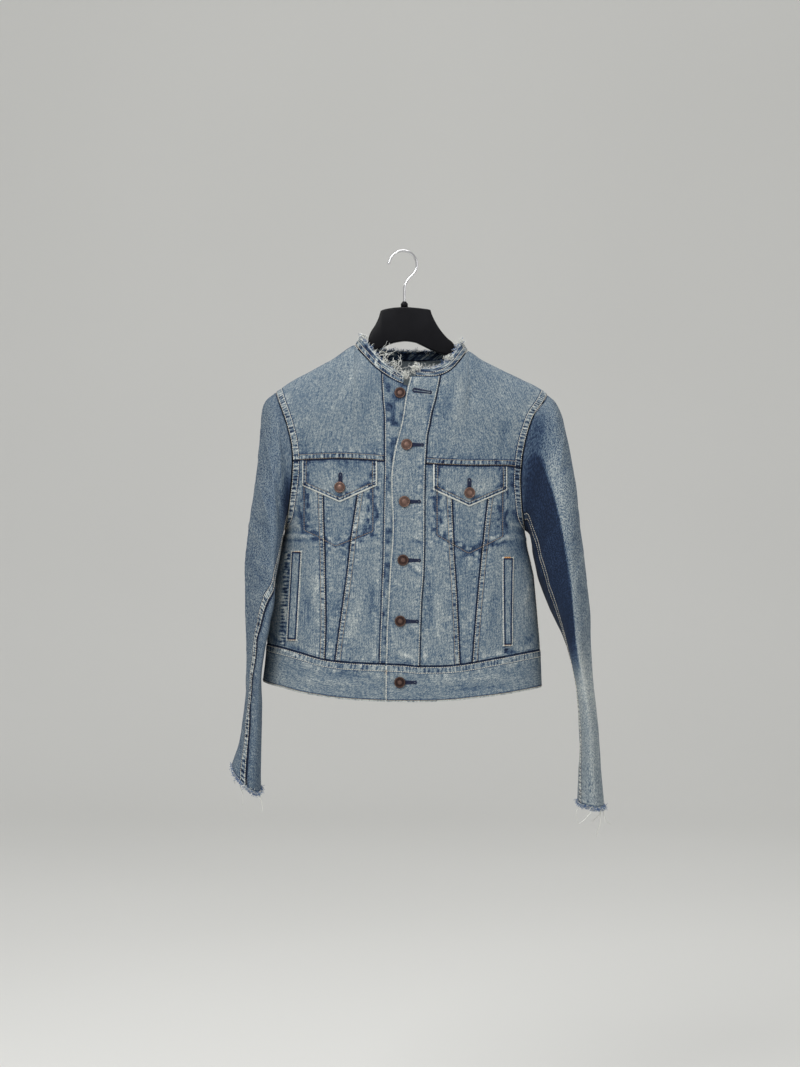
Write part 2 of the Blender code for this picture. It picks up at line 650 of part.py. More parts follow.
def make_pockets():
    yoke = along(YOKE_SEAM)
    for side in SIDES:
        x_in, x_out, corner_z, point_x, point_z = FLAPS[side]
        edge = flap_edge(corner_z, point_x, point_z, x_in, x_out)
        grid = patch("front", constant(x_out), constant(x_in), yoke, edge, even(11), even(5))
        layer("pocket_flap_" + side, "denim", grid, LAY, DOUBLED)

        x_in, x_out, lower = POCKET_BAGS[side]
        grid = patch("front", constant(x_out), constant(x_in), lambda x: yoke(x) - 4,
                     lambda x, lower=lower: straight(lower, x), even(9), even(8))
        layer("pocket_bag_" + side, "denim_dark", grid, -DENIM - BAG_LAY - 1.0,
              -DENIM - BAG_LAY)

        top_out, top_in, low_out, low_in, top, bottom = WELTS[side]
        grid = patch("front", along(((top, top_out), (bottom, low_out))),
                     along(((top, top_in), (bottom, low_in))), constant(top), constant(bottom),
                     even(4), even(12))
        layer("pocket_welt_" + side, "denim", grid, 0.6, 0.6 + DENIM)


def make_back():
    shoulder, yoke, waist = along(SHOULDER), along(BACK_YOKE_SEAM), along(BACK_WAIST_SEAM)

    def outer(sign):
        return outer_line(1 if sign < 0 else 2, sign)

    def yoke_top(x):
        over_neck = (x > RIGHT_NECK) & (x < LEFT_NECK)
        return np.where(over_neck, curve(NECK_BACK, x), shoulder(x))

    marks = [0, share_across(outer(-1), outer(1), RIGHT_NECK),
             share_across(outer(-1), outer(1), LEFT_NECK), 1]
    over_neck = marks[1] + (marks[2] - marks[1]) * (1 - np.cos(math.pi * even(13))) / 2
    columns = np.concatenate([np.linspace(marks[0], marks[1], 7), over_neck[1:],
                              np.linspace(marks[2], marks[3], 7)[1:]])
    grid = patch("back", outer(-1), outer(1), yoke_top, yoke, columns, even(9))
    layer("back_yoke", "denim", grid, -DENIM, 0.0)
    neck_row = grid[0][0, 6:19]
    for side, sign in (("right", -1), ("left", 1)):
        grid = patch("back", outer(sign), along(BACK_SEAMS[side]), yoke, waist, even(8),
                     pit_rows(yoke, waist, sign))
        layer("back_side_" + side, "denim", grid, -DENIM, 0.0)
    grid = patch("back", along(BACK_SEAMS["right"]), along(BACK_SEAMS["left"]), yoke, waist,
                 even(10), even(12))
    layer("back_centre", "denim", grid, -DENIM, 0.0)
    return neck_row


def make_waistband():
    """One band right round; its buttonhole end laps over its button end at the front."""
    underlap = float(curve(UNDERLAP_EDGE, BAND_LEVEL))
    start = p_at(curve(PLACKET_EDGE, BAND_LEVEL), BAND_LEVEL)
    end = p_at(underlap, BAND_LEVEL)
    girth = np.concatenate([np.linspace(start, 1, 21), 2 - np.linspace(1, -1, 27)[1:],
                            4 + np.linspace(-1, end, 22)[1:]])
    rows = np.array([0.0, 0.5, 1.0])
    grid, out = np.zeros((3, len(girth), 3)), np.zeros((3, len(girth), 3))
    lift = np.zeros(len(girth))
    for col, g in enumerate(girth):
        side = "back" if 1 < g < 3 else "front"
        p = 2 - g if side == "back" else (g if g <= 1 else g - 4)
        upper, lower = (BACK_WAIST_SEAM, BACK_HEM) if side == "back" else (WAIST_SEAM, HEM)
        z = np.full(3, BAND_LEVEL)
        for _ in range(8):
            x = x_at(p, z)
            z = curve(upper, x) + (curve(lower, x) - curve(upper, x)) * rows
        w = depth_w(x, z)
        grid[:, col] = torso_point(side, np.full(3, p), w)
        out[:, col] = torso_normal(side, np.full(3, p), w)
        if g <= 1:
            past_lap = (x[1] - underlap - BAND_LAP_RAMP[0]) / BAND_LAP_RAMP[1]
            lift[col] = (DOUBLED + LAY) * (1 - np.clip(past_lap, 0, 1)) ** 2
    outer = keep_back(grid) + out * (BAND_PROUD + lift)[None, :, None]
    wall("waistband", "denim", outer, outer - out * DOUBLED * 1.1)


def neck_loop(front_rows, back_row):
    """Points round the neck seam: right front, back, left front.

    They are the yokes' own top points, carried on across the tops of the plackets.
    """
    right = [at_xz("front", x, float(curve(NECK_RIGHT, x)))[0]
             for x in np.linspace(BAND_RIGHT_END, front_rows["right"][-1, 0], 5)[:-1]]
    left = [at_xz("front", x, float(curve(NECK_LEFT, x)))[0]
            for x in np.linspace(front_rows["left"][-1, 0], BAND_LEFT_END, 5)[1:]]
    return np.concatenate([right, front_rows["right"][::-1], back_row[1:-1], front_rows["left"], left])


def neck_band_grid(seam):
    """The band's foot, the way up it and its outward directions, from points of the seam."""
    inward = unit((np.array(NECK_CENTRE) - seam) * (1, 1, 0))
    rise = inward * BAND_LEAN + np.array([0, 0, BAND_RISE])
    tangent = np.gradient(seam, axis=0)
    out = unit(np.cross(rise, tangent))
    out *= np.sign((out * -inward).sum(1, keepdims=True))
    return seam + unit(rise) * NECK_GAP, rise, out


def make_neck_band(seam):
    foot, rise, out = neck_band_grid(seam)
    outer = np.stack([foot + rise * share for share in (1.0, 0.5, 0.0)])
    wall("neck_band", "denim", outer, outer - out * DOUBLED)


def strand(rng, direction, length, steps):
    """Centre line of a strand as (offset, width share) steps that wander and thin out."""
    line, offset = [], np.zeros(3)
    for step in range(steps):
        offset = offset + direction * length / steps + rng.normal(0, 0.07 * length / steps, 3)
        line.append((offset.copy(), 0.5 - 0.35 * (step + 1) / steps))
    return line


def make_neck_fray(seam):
    foot, rise, out = neck_band_grid(seam)
    rng = np.random.default_rng(SEED)
    ends = np.linspace(0, len(foot) - 1, NECK_STRANDS + 1)

    def spread(values):
        return np.stack([np.interp(ends, range(len(foot)), values[:, k]) for k in range(3)], -1)

    foot, rise, out = spread(foot + rise), unit(spread(rise)), unit(spread(out))
    back = foot - out * 0.5
    outer = np.stack([back + rise * FRAY_GAP, back + rise * (FRAY_GAP + FRAY_STRIP)])
    strands = {}
    for col in range(0, NECK_STRANDS, 2):
        direction = rise[col] + out[col] * rng.uniform(-0.5, 0.4) + rng.normal(0, 0.15, 3)
        strands[col] = strand(rng, unit(direction), rng.uniform(*NECK_FRAY_LENGTH), 1)
    fringe("neck_fray", outer, outer - np.stack([out, out]) * FRAY_THICKNESS, strands, ring=False)


# Sleeves. A section is a rounded outline through its outer, front, inner and back points.

def section_point(outer, front, inner, back, degrees):
    angle = np.radians(degrees)
    centre = (outer + inner) / 2
    c = np.sign(np.cos(angle)) * np.abs(np.cos(angle)) ** (2 / SLEEVE_POWER)
    s = np.abs(np.sin(angle)) ** (2 / SLEEVE_POWER)
    reach = np.where((np.sin(angle) > 0)[..., None], front - centre, back - centre)
    return centre + (outer - centre) * c[..., None] + reach * s[..., None]


def armhole_ring(side, degrees):
    """The armhole's edge on the torso, by the same angles as a sleeve's sections."""
    number = 1 if side == "right" else 2
    angle = np.radians(degrees)
    top = float(curve(SHOULDER, RIGHT_TIP if side == "right" else LEFT_TIP))
    c = np.sign(np.cos(angle)) * np.abs(np.cos(angle)) ** (2 / SLEEVE_POWER)
    z = (top + ARMPIT) / 2 + (top - ARMPIT) / 2 * c
    x = curve(column(ARMHOLE, number), z)
    points = np.zeros(z.shape + (3,))
    for face in ("front", "back"):
        chosen = (np.sin(angle) > 0) == (face == "front")
        p, w = p_at(x, z), depth_w(x, z)
        points[chosen] = torso_point(face, p, w)[chosen]
    return points


def sleeve_sections(side, degrees):
    """The armhole and every section of the table, each at the same angles."""
    rings = [armhole_ring(side, degrees)]
    for ox, oz, fx, fy, fz, ix, iz, by, _ in SLEEVES[side]:
        middle = (fy + by) / 2
        outer, inner = np.array([ox, middle, oz]), np.array([ix, middle, iz])
        front = np.array([fx, fy, fz])
        back = np.array([(ox + ix) / 2, by, (oz + iz) / 2])
        rings.append(section_point(outer, front, inner, back, degrees))
    rings = np.array(rings)
    rings[0] += unit(rings[1] - rings[0]) * ARMHOLE_STEP
    return rings


def between_sections(rings, share):
    """Smooth points between sections; share counts sections from the armhole."""
    slopes = np.gradient(rings, axis=0)
    i = np.clip(np.floor(share).astype(int), 0, len(rings) - 2)
    t = (share - i)[..., None]
    index = np.broadcast_to(i[..., None], share.shape + (3,))[None]

    def pick(stack, step):
        return np.take_along_axis(stack, index + step, 0)[0]

    return ((1 + 2 * t) * (1 - t) ** 2 * pick(rings, 0) + t * (1 - t) ** 2 * pick(slopes, 0)
            + t * t * (3 - 2 * t) * pick(rings, 1) + t * t * (t - 1) * pick(slopes, 1))


def sleeve_folds(side, share, degrees):
    total = np.zeros(degrees.shape)
    for along_, around, span, spread, rise in SLEEVE_FOLDS[side]:
        turn = (degrees - around + 180) % 360 - 180
        total += rise * np.exp(-((share - along_) / span) ** 2 - (turn / spread) ** 2)
    return total


def plain_sleeve(side, share, degrees):
    """Smooth surface of a sleeve, and its outward directions."""
    def at(step, turn):
        return between_sections(sleeve_sections(side, degrees + turn), share + step)

    down, across = at(0.06, 0) - at(-0.06, 0), at(0, 2.5) - at(0, -2.5)
    return at(0, 0), unit(np.cross(down, across)) * (1 if side == "right" else -1)


def sleeve_surface(side, share, degrees):
    points, out = plain_sleeve(side, share, degrees)
    lift = sleeve_folds(side, share / len(SLEEVES[side]), degrees) * np.clip(share / 1.5, 0, 1)
    return points + out * lift[..., None], out


def sleeve_grid(side, start, end, count):
    """Points and outward directions of a sleeve between two lines down it.

    start and end give the angle of each line at each section, armhole first.
    """
    sections = len(SLEEVES[side]) + 1
    keys = np.arange(sections)
    share = np.linspace(0, sections - 1, SLEEVE_STEPS)
    start = np.interp(share, keys, np.broadcast_to(start, sections))
    end = np.interp(share, keys, np.broadcast_to(end, sections))
    degrees = start[:, None] + (end - start)[:, None] * even(count)[None, :]
    return sleeve_surface(side, np.broadcast_to(share[:, None], degrees.shape).copy(), degrees)


def front_seam(side):
    """Angles of the front seam at the armhole and at each section."""
    seams = [row[-1] for row in SLEEVES[side]]
    return np.array([seams[0]] + seams, float)


def make_sleeves():
    for side in SIDES:
        seam = front_seam(side)
        for name, start, end, count in (("sleeve_upper_", BACK_SEAM - 360, seam, 14),
                                        ("sleeve_under_", seam, BACK_SEAM, 10)):
            points, out = sleeve_grid(side, start, end, count)
            points = keep_back(points, "lr", SLEEVE_SEAM)
            cuts = (0, *SLEEVE_CUTS[side], SLEEVE_STEPS - 1)
            for number, (first, last) in enumerate(zip(cuts[:-1], cuts[1:]), 1):
                rows = slice(first, last + 1)
                ends = ("t" if first > 0 else "") + ("b" if last < SLEEVE_STEPS - 1 else "")
                part = keep_back(points[rows], ends, SLEEVE_SEAM)
                wall(name + side + ("_%d" % number if number > 1 else ""), "denim", part,
                     part - out[rows] * DENIM)


def make_cuff_fray():
    rng = np.random.default_rng(SEED + 1)
    for side in SIDES:
        seam = front_seam(side)
        points, out = sleeve_grid(side, seam, seam + 360, CUFF_STRANDS + 1)
        points, out = points[:, :-1], out[:, :-1]
        down = unit(points[-1] - points[-2])
        edge = points[-1] - out[-1] * 0.1
        outer = np.stack([edge + down * FRAY_GAP, edge + down * (FRAY_GAP + FRAY_STRIP)])
        degrees = (seam[-1] + np.arange(CUFF_STRANDS) * 360 / CUFF_STRANDS) % 360
        strands = {}
        for col in range(0, CUFF_STRANDS, 2):
            direction = down[col] + out[-1, col] * rng.uniform(-0.1, 0.45) + rng.normal(0, 0.12, 3)
            strands[col] = strand(rng, unit(direction), rng.uniform(*CUFF_FRAY_LENGTH), 1)
        for around, drift_x, drift_y, fall in LONG_THREADS[side]:
            near = np.abs((degrees - around + 180) % 360 - 180)
            col = 2 * int(np.argmin(near[::2]))
            direction = np.array([drift_x, drift_y, -fall])
            strands[col] = strand(rng, unit(direction), np.linalg.norm(direction), 4)
        fringe("cuff_fray_" + side, outer, outer - np.stack([out[-1], out[-1]]) * FRAY_THICKNESS,
               strands, ring=True)


# Buttons, hanger and hook

def turned(name, colour, profile, top, sides, origin, axis):
    """A turned solid: profile of (radius, height) along an axis, closed flat at both ends."""
    axis = unit(np.asarray(axis, float))
    first = unit(np.cross(axis, (0.0, 0.0, 1.0) if abs(axis[2]) < 0.9 else (1.0, 0.0, 0.0)))
    second = np.cross(axis, first)
    points = [np.asarray(origin, float)]
    for radius, rise in profile:
        for k in range(sides):
            angle = 2 * math.pi * k / sides
            points.append(origin + axis * rise + radius * (first * math.cos(angle)
                                                           + second * math.sin(angle)))
    points.append(origin + axis * top)
    faces = []
    for k in range(sides):
        after = (k + 1) % sides
        faces.append((0, 1 + after, 1 + k))
        for ring in range(len(profile) - 1):
            low, high = 1 + ring * sides, 1 + (ring + 1) * sides
            faces.append((low + k, low + after, high + after, high + k))
        high = 1 + (len(profile) - 1) * sides
        faces.append((high + k, high + after, len(points) - 1))
    return solid(name, colour, points, faces)


def make_buttons():
    for name, x, z, lift in BUTTONS:
        point, out = at_xz("front", float(x), float(z))
        turned(name, "copper", BUTTON_PROFILE, BUTTON_TOP, BUTTON_SIDES,
               point + out * (lift + LAY), out)


def under_cloth(x, y):
    """Height just under the cloth over the shoulders, at x and a distance y from the ridge."""
    z = float(curve(SHOULDER, x))
    deep = np.interp(abs(float(p_at(x, z - 20))), GIRTH, DEEP)
    reach = deep * min(float(curve(column(TORSO, 3), z)), float(curve(column(TORSO, 4), z)))
    lean = min(abs(y) / reach, 0.95)
    slope = CAP / reach * lean / math.sqrt(1 - lean * lean)
    ridge_slope = float(curve(SHOULDER, x + 2) - curve(SHOULDER, x - 2)) / 4
    stretch = math.sqrt(1 + slope * slope + ridge_slope * ridge_slope)
    return z - CAP * (1 - math.sqrt(1 - lean * lean)) - (DENIM + HANGER_CLEARANCE) * stretch


def make_hanger():
    points, faces = [], []
    sides = HANGER_SIDES
    for x, top, bottom, half in HANGER:
        bevel = min(HANGER_BEVEL, (top - bottom) / 4)
        flat = half - bevel
        over = []
        for y in (-half, -flat, 0, flat, half):
            carried = x < RIGHT_NECK or x > LEFT_NECK
            high = min(top, under_cloth(x, y)) if carried else top
            over.append((y, high - (bevel if abs(y) == half else 0)))
        under = [(half, bottom + bevel), (flat, bottom), (0, bottom), (-flat, bottom),
                 (-half, bottom + bevel)]
        points.extend((x, y, z) for y, z in over + under)
    for row in range(len(HANGER) - 1):
        for k in range(sides):
            after = (k + 1) % sides
            faces.append((row * sides + k, row * sides + after,
                          (row + 1) * sides + after, (row + 1) * sides + k))
    faces.append(tuple(reversed(range(sides))))
    faces.append(tuple(range(len(points) - sides, len(points))))
    solid("hanger_body", "plastic", points, faces)


def make_hook():
    """Bent wire: a near circle over the origin, then a bend back to the upright shank."""
    ferrule_top = FERRULE_PROFILE[-1][1]
    route = [HOOK_LIP]
    for degrees in np.linspace(HOOK_TIP_ANGLE, HOOK_HEEL_ANGLE, 19):
        angle = math.radians(degrees)
        route.append((HOOK_RADIUS * math.cos(angle), HOOK_CENTRE + HOOK_RADIUS * math.sin(angle)))
    x, z = route[-1]
    for step in (0.3, 0.6, 1.0):
        ease = 1 - (1 - step) ** 2
        route.append((x + (SHANK_X - x) * ease, z + (SHANK_BEND - z) * step))
    route.append((SHANK_X, SHANK_FOOT + ferrule_top + 0.3))
    spline_data = bpy.data.curves.new("hanger_hook", "CURVE")
    spline_data.dimensions = "3D"
    spline_data.bevel_depth = WIRE / 2 * METRES
    spline_data.bevel_resolution = 2
    spline_data.use_fill_caps = True
    spline = spline_data.splines.new("POLY")
    spline.points.add(len(route) - 1)
    for point, (x, z) in zip(spline.points, route):
        point.co = (x * METRES, 0, z * METRES, 1)
    finish("hanger_hook", "steel", spline_data)
    turned("hanger_ferrule", "plastic", FERRULE_PROFILE, ferrule_top, FERRULE_SIDES,
           np.array([SHANK_X, 0.0, SHANK_FOOT]), (0, 0, 1))


def main():
    for item in list(bpy.data.objects):
        bpy.data.objects.remove(item, do_unlink=True)
    front_rows = make_fronts()
    back_row = make_back()
    make_plackets()
    make_pockets()
    make_waistband()
    seam = neck_loop(front_rows, back_row)
    make_neck_band(seam)
    make_neck_fray(seam)
    make_sleeves()
    make_cuff_fray()
    make_buttons()
    make_hanger()
    make_hook()


main()
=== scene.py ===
"""Dresses the cropped denim jacket on its hanger: cloth, sewing, frayed edges, metal and stage.

The front faces -Y and +Z is up. The origin is the underside of the hook's top. Left and right
are the wearer's own: left is +X. Tables and grids are in millimetres, meshes in metres.
"""

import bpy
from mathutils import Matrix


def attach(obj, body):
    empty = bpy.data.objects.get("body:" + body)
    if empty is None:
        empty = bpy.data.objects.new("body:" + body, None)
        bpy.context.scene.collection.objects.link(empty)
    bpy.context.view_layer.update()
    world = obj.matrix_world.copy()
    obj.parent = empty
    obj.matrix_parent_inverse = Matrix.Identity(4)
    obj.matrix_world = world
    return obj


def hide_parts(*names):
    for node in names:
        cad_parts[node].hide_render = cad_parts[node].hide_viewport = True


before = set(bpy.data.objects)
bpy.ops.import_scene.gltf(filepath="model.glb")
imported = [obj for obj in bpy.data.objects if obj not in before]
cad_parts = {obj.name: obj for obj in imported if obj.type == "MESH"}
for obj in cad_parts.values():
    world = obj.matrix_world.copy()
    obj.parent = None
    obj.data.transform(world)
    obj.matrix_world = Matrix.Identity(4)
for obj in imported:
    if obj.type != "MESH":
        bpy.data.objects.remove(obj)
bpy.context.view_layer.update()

import math

import bpy
import numpy as np
from mathutils import Vector
from mathutils.bvhtree import BVHTree

bl_info = {
    "name": "Denim jacket on a hanger",
    "version": (1, 0, 0),
    "blender": (4, 5, 0),
    "location": "3D View > Sidebar > Jacket",
    "description": "Builds the cloth, sewing, buttons and hanger of a cropped denim jacket",
    "category": "Add Mesh",
}

METRES = 0.001
BODY = "root"


# Cloth. Every piece of the body follows one torso surface and lies inside or outside it.
DENIM = 1.2          # one layer of cloth
DOUBLED = 2.0        # two layers pressed together: plackets, bands and flaps
SEAM_GAP = 0.06      # what each piece keeps back from a seam
LAY = 0.4            # clearance under a piece that lies on another
BAG_LAY = 0.9        # the same for a pocket bag inside the fronts
LAP = 0.65           # the same where the long plackets lap
GIRTH_POWER = 2.4    # roundness of the torso's sections: 2 is an ellipse
GIRTH_DEPTH = 0.38   # their usual depth over their width
CAP = 95.0           # how far below the shoulder line the front and back reach full depth
ALL_THE_WAY = 1000.0  # an x past either side seam

# Reach of the torso's sections from the hook's line: both halves, front and back.
TORSO = (
    # z     right   left  front  back
    (-120, 222.0, 240.0, 58.0, 56.0),
    (-200, 214.0, 232.0, 62.0, 60.0),
    (-240, 206.0, 222.0, 67.0, 66.0),
    (-300, 188.0, 202.0, 71.0, 71.0),
    (-350, 184.0, 194.0, 73.0, 73.0),
    (-385, 178.0, 186.0, 74.0, 74.0),
    (-408, 173.0, 178.5, 75.0, 74.0),
    (-430, 178.0, 181.5, 75.0, 74.0),
    (-458, 185.0, 188.0, 75.5, 74.0),
    (-500, 191.5, 194.0, 76.0, 74.0),
    (-545, 197.0, 198.0, 76.0, 75.0),
    (-590, 201.0, 201.0, 75.5, 76.0),
    (-660, 208.0, 204.0, 75.0, 77.0),
)

# Height of the shoulder line from the right tip to the left; across the neck it is imagined.
SHOULDER = (
    # x       z
    (-188, -207.0),
    (-163, -190.0),
    (-130, -172.5),
    (-104, -157.5),
    (-72, -137.2),
    (-30, -128.0),
    (10, -127.0),
    (50, -131.0),
    (96, -145.2),
    (116, -158.5),
    (147, -174.5),
    (177, -188.5),
    (204, -202.5),
    (215, -211.0),
)
RIGHT_TIP, LEFT_TIP = -187.0, 214.0
RIGHT_NECK, LEFT_NECK = -71.5, 96.0
ARMPIT = -408.0

ARMHOLE = (
    # z     right    left
    (-206, -187.0, 214.0),
    (-222, -181.5, 205.0),
    (-240, -174.5, 191.5),
    (-261, -167.5, 183.0),
    (-283, -162.5, 177.0),
    (-307, -160.5, 173.0),
    (-337, -162.0, 171.0),
    (-369, -165.5, 172.5),
    (-393, -169.5, 175.5),
    (-408, -173.0, 178.5),
)

# The neck seam. Undone at the top, the right front hangs lower than the left.
NECK_RIGHT = ((-71.5, -137.2), (-64.9, -146.1), (-56.5, -155.9), (-46.8, -166.7),
              (-37.3, -175.9), (-26.4, -183.8), (-15.5, -190.7), (1.4, -198.4), (30, -206))
NECK_LEFT = ((10, -187.2), (26, -187.0), (34.3, -187.5), (43.8, -187.4), (54.7, -185.1),
             (65.7, -180.2), (75.3, -171.9), (83.8, -161.5), (91, -151.8), (96, -145.2))
NECK_BACK = ((-71.5, -137.2), (-60, -146.5), (-40, -153.5), (0, -156.5), (35, -157.0),
             (62, -155.5), (84, -151.5), (96, -145.2))
BAND_RIGHT_END, BAND_LEFT_END = 0.5, 19.0
BAND_RISE, BAND_LEAN = 13.0, 8.0     # up, and in towards the neck
NECK_CENTRE = (12.0, -8.0, 0.0)
NECK_GAP = 0.9                       # between the neck seam and the band's foot

# Seams of the fronts, as lines down the torso (z, x) and across it (x, z).
YOKE_SEAM = ((-165, -308.4), (-128, -307.0), (-94, -306.0), (-59, -307.5), (-24, -309.5),
             (0, -309.5), (20, -311.5), (41, -314.0), (68, -315.3), (97, -316.2), (150, -316.0),
             (175, -319.5))
WAIST_SEAM = ((-202, -575.0), (-174, -580.0), (-149, -586.5), (-113, -596.0), (-84, -599.5),
              (-49, -601.2), (-1, -603.0), (26, -605.3), (56, -605.0), (85, -602.5),
              (115, -597.8), (147, -592.3), (178, -587.2), (202, -584.0))
HEM = ((-209, -629.0), (-199, -632.5), (-174, -638.0), (-149, -644.3), (-129, -647.5),
       (-101, -651.5), (-66, -654.3), (-27, -656.0), (30, -656.5), (66, -655.3),
       (104, -651.6), (147, -647.0), (178, -642.2), (205, -638.5))
BACK_YOKE_SEAM = ((-175, -296), (-90, -301), (0, -309), (90, -304), (185, -302))
BACK_WAIST_SEAM = ((-202, -575.0), (0, -583.0), (202, -584.0))
BACK_HEM = ((-209, -629.0), (0, -637.0), (205, -638.5))
BAND_LEVEL = -628.0      # middle of the waistband at the front
BAND_WIDTH, BAND_QUARTER = 50.0, 235.0      # its width, and a quarter of its way round
BAND_PROUD = 0.6         # how far the waistband stands out of the torso surface
BAND_LAP_RAMP = (4.0, 22.0)   # the lapping end comes down over this stretch, past the lap

PLACKET_EDGE = ((-187, 11.0), (-205, 6.0), (-219, 3.2), (-250, -1.4), (-295, -12.5),
                (-317, -15.9), (-338, -17.4), (-366, -16.8), (-400, -15.2), (-426, -16.0),
                (-455, -18.4), (-508, -21.5), (-550, -23.7), (-603, -25.1), (-656, -26.8))
PLACKET_SEAM = ((-187, 53.8), (-205, 50.3), (-223, 46.3), (-237, 42.2), (-256, 38.8),
                (-273, 35.2), (-296, 33.6), (-320, 32.2), (-366, 31.5), (-423, 31.2),
                (-474, 30.0), (-508, 27.2), (-550, 25.5), (-603, 23.8))
BUTTON_SEAM = ((-190, -30.6), (-219, -28.9), (-248, -26.6), (-314, -26.4), (-348, -27.1),
               (-400, -28.0), (-440, -28.6), (-492, -30.7), (-527, -31.8), (-561, -33.3),
               (-593, -34.3), (-603, -34.5))
UNDERLAP_EDGE = ((-187, 26.0), (-656, 17.5))      # hidden edge of the button placket
WEDGE_SEAMS = {
    "right": (((-300, -116.5), (-400, -114.6), (-458, -112.6), (-544, -111.4), (-603, -113.2)),
              ((-300, -58.0), (-360, -66.1), (-417, -74.8), (-466, -80.3), (-553, -92.4),
               (-603, -99.0))),
    "left": (((-300, 66.0), (-366, 70.6), (-404, 72.3), (-442, 73.8), (-487, 76.8),
              (-550, 80.0), (-608, 82.4)),
             ((-300, 131.0), (-366, 122.5), (-439, 114.0), (-476, 110.3), (-529, 105.4),
              (-608, 99.2))),
}
BACK_SEAMS = {"right": ((-290, -92.0), (-600, -58.0)), "left": ((-290, 95.0), (-600, 58.0))}

# Pocket flaps: straight sides and a pointed lower edge.
FLAPS = {
    #          x_in    x_out  corner_z  point_x  point_z
    "right": (-37.3, -145.7, -344.7, -91.2, -368.7),
    "left": (43.2, 150.4, -351.1, 95.5, -375.1),
}
POCKET_BAGS = {
    #          x_in    x_out  lower edge (x, z)
    "right": (-43.5, -143.5, ((-143.5, -409.0), (-125.0, -417.4), (-97.3, -432.0),
                              (-43.5, -410.6))),
    "left": (49.0, 144.5, ((49.0, -416.0), (94.7, -442.4), (144.5, -418.0))),
}
WELTS = {
    #         x at the top     x at the bottom   top     bottom
    "right": (-162.0, -145.6, -169.0, -152.5, -438.5, -569.5),
    "left": (142.7, 160.2, 143.8, 158.6, -447.6, -576.9),
}

# Large soft folds of the fronts: ridges stand out, troughs (negative) sink in.
FOLDS = {
    # x1, z1, x2, z2, width, height
    "front": (
        (-166, -425, -118, -423, 13, 1.9), (-172, -437, -128, -436, 13, -1.4),
        (-108, -436, -66, -428, 14, 1.4), (2, -426, 40, -429, 16, 1.2), (118, -431, 172, -432, 13, 1.9),
        (122, -442, 168, -443, 13, -1.3), (-150, -330, -158, -395, 16, -2.2),
        (160, -335, 165, -395, 16, -2.4), (-52, -325, -44, -420, 15, 1.6), (45, -330, 40, -400, 15, 1.6),
        (-60, -440, -52, -590, 22, 1.8), (52, -450, 60, -590, 22, 1.8), (-130, -440, -140, -560, 16, 2),
        (128, -450, 124, -560, 16, 2), (-55, -165, -92, -285, 24, 2.2), (72, -180, 62, -290, 22, 2.2),
        (-120, -200, -140, -290, 24, -1.8), (140, -215, 152, -295, 24, -1.8),
    ),
    "back": (
        (-150, -320, -120, -470, 26, 3.2), (155, -325, 125, -480, 26, 3.2),
        (-60, -320, -75, -540, 28, -2.6), (70, -320, 62, -545, 28, -2.6), (-130, -430, -60, -445, 20, 2),
        (50, -440, 135, -428, 20, 2), (-10, -450, 5, -570, 26, 2.4),
    ),
}

# Sleeve sections from just outside the armhole to the cuff. The outer and inner points lie
# half way between front and back; seam is where the front seam runs, in degrees around the
# section from the outer point (0) by the front fold (90) to the inner point (180).
SLEEVES = {
    "right": (
        # outer x, z      front x, y, z       inner x, z     back y  seam
        (-204.4, -223.3, -173.0, -46, -318.0, -182.0, -414.5, 50, 150),
        (-210.2, -261.7, -178.5, -60, -362.0, -186.5, -435.0, 60, 142),
        (-214.4, -320.5, -183.1, -70, -401.5, -190.5, -459.0, 64, 132),
        (-223.0, -379.3, -187.1, -76, -441.5, -199.0, -496.0, 62, 120),
        (-230.1, -445.3, -189.0, -78, -487.9, -204.5, -528.5, 56, 102),
        (-231.4, -511.2, -195.1, -78, -533.0, -208.5, -554.0, 50, 76),
        (-229.8, -569.7, -201.0, -77, -576.2, -211.5, -587.0, 46, 57),
        (-229.0, -616.4, -207.5, -76, -619.9, -211.5, -627.0, 42, 52),
        (-231.0, -660.2, -211.0, -75, -662.1, -207.5, -664.6, 36, 54),
        (-238.0, -712.4, -214.6, -74, -716.3, -208.5, -719.3, 26, 64),
        (-250.1, -751.3, -226.2, -73, -779.0, -207.1, -786.3, 14, 92),
    ),
    "left": (
        (227.5, -226.3, 194.4, -46, -304.0, 187.0, -418.0, 50, 150),
        (239.0, -262.6, 208.7, -58, -336.0, 190.9, -443.0, 60, 150),
        (249.3, -325.9, 220.6, -68, -378.5, 197.9, -476.0, 64, 150),
        (257.9, -390.0, 230.4, -73, -427.2, 208.5, -506.5, 64, 150),
        (266.5, -457.0, 238.9, -75, -480.7, 222.0, -537.8, 60, 152),
        (272.7, -522.9, 244.7, -74, -535.3, 236.0, -567.5, 54, 154),
        (276.1, -584.5, 250.5, -73, -586.6, 246.6, -598.7, 48, 156),
        (279.5, -642.8, 260.3, -70, -641.4, 254.4, -645.8, 38, 158),
        (285.0, -696.7, 266.7, -68, -694.9, 258.0, -696.7, 28, 158),
        (288.3, -742.5, 268.3, -67, -739.3, 258.2, -739.5, 24, 158),
        (294.2, -811.7, 271.4, -64, -810.0, 254.8, -804.7, 16, 158),
    ),
}
SLEEVE_POWER = 2.25
BACK_SEAM = 232.0         # degrees round the section, the same all the way down
ARMHOLE_STEP = 0.95       # a sleeve starts this far outside the armhole
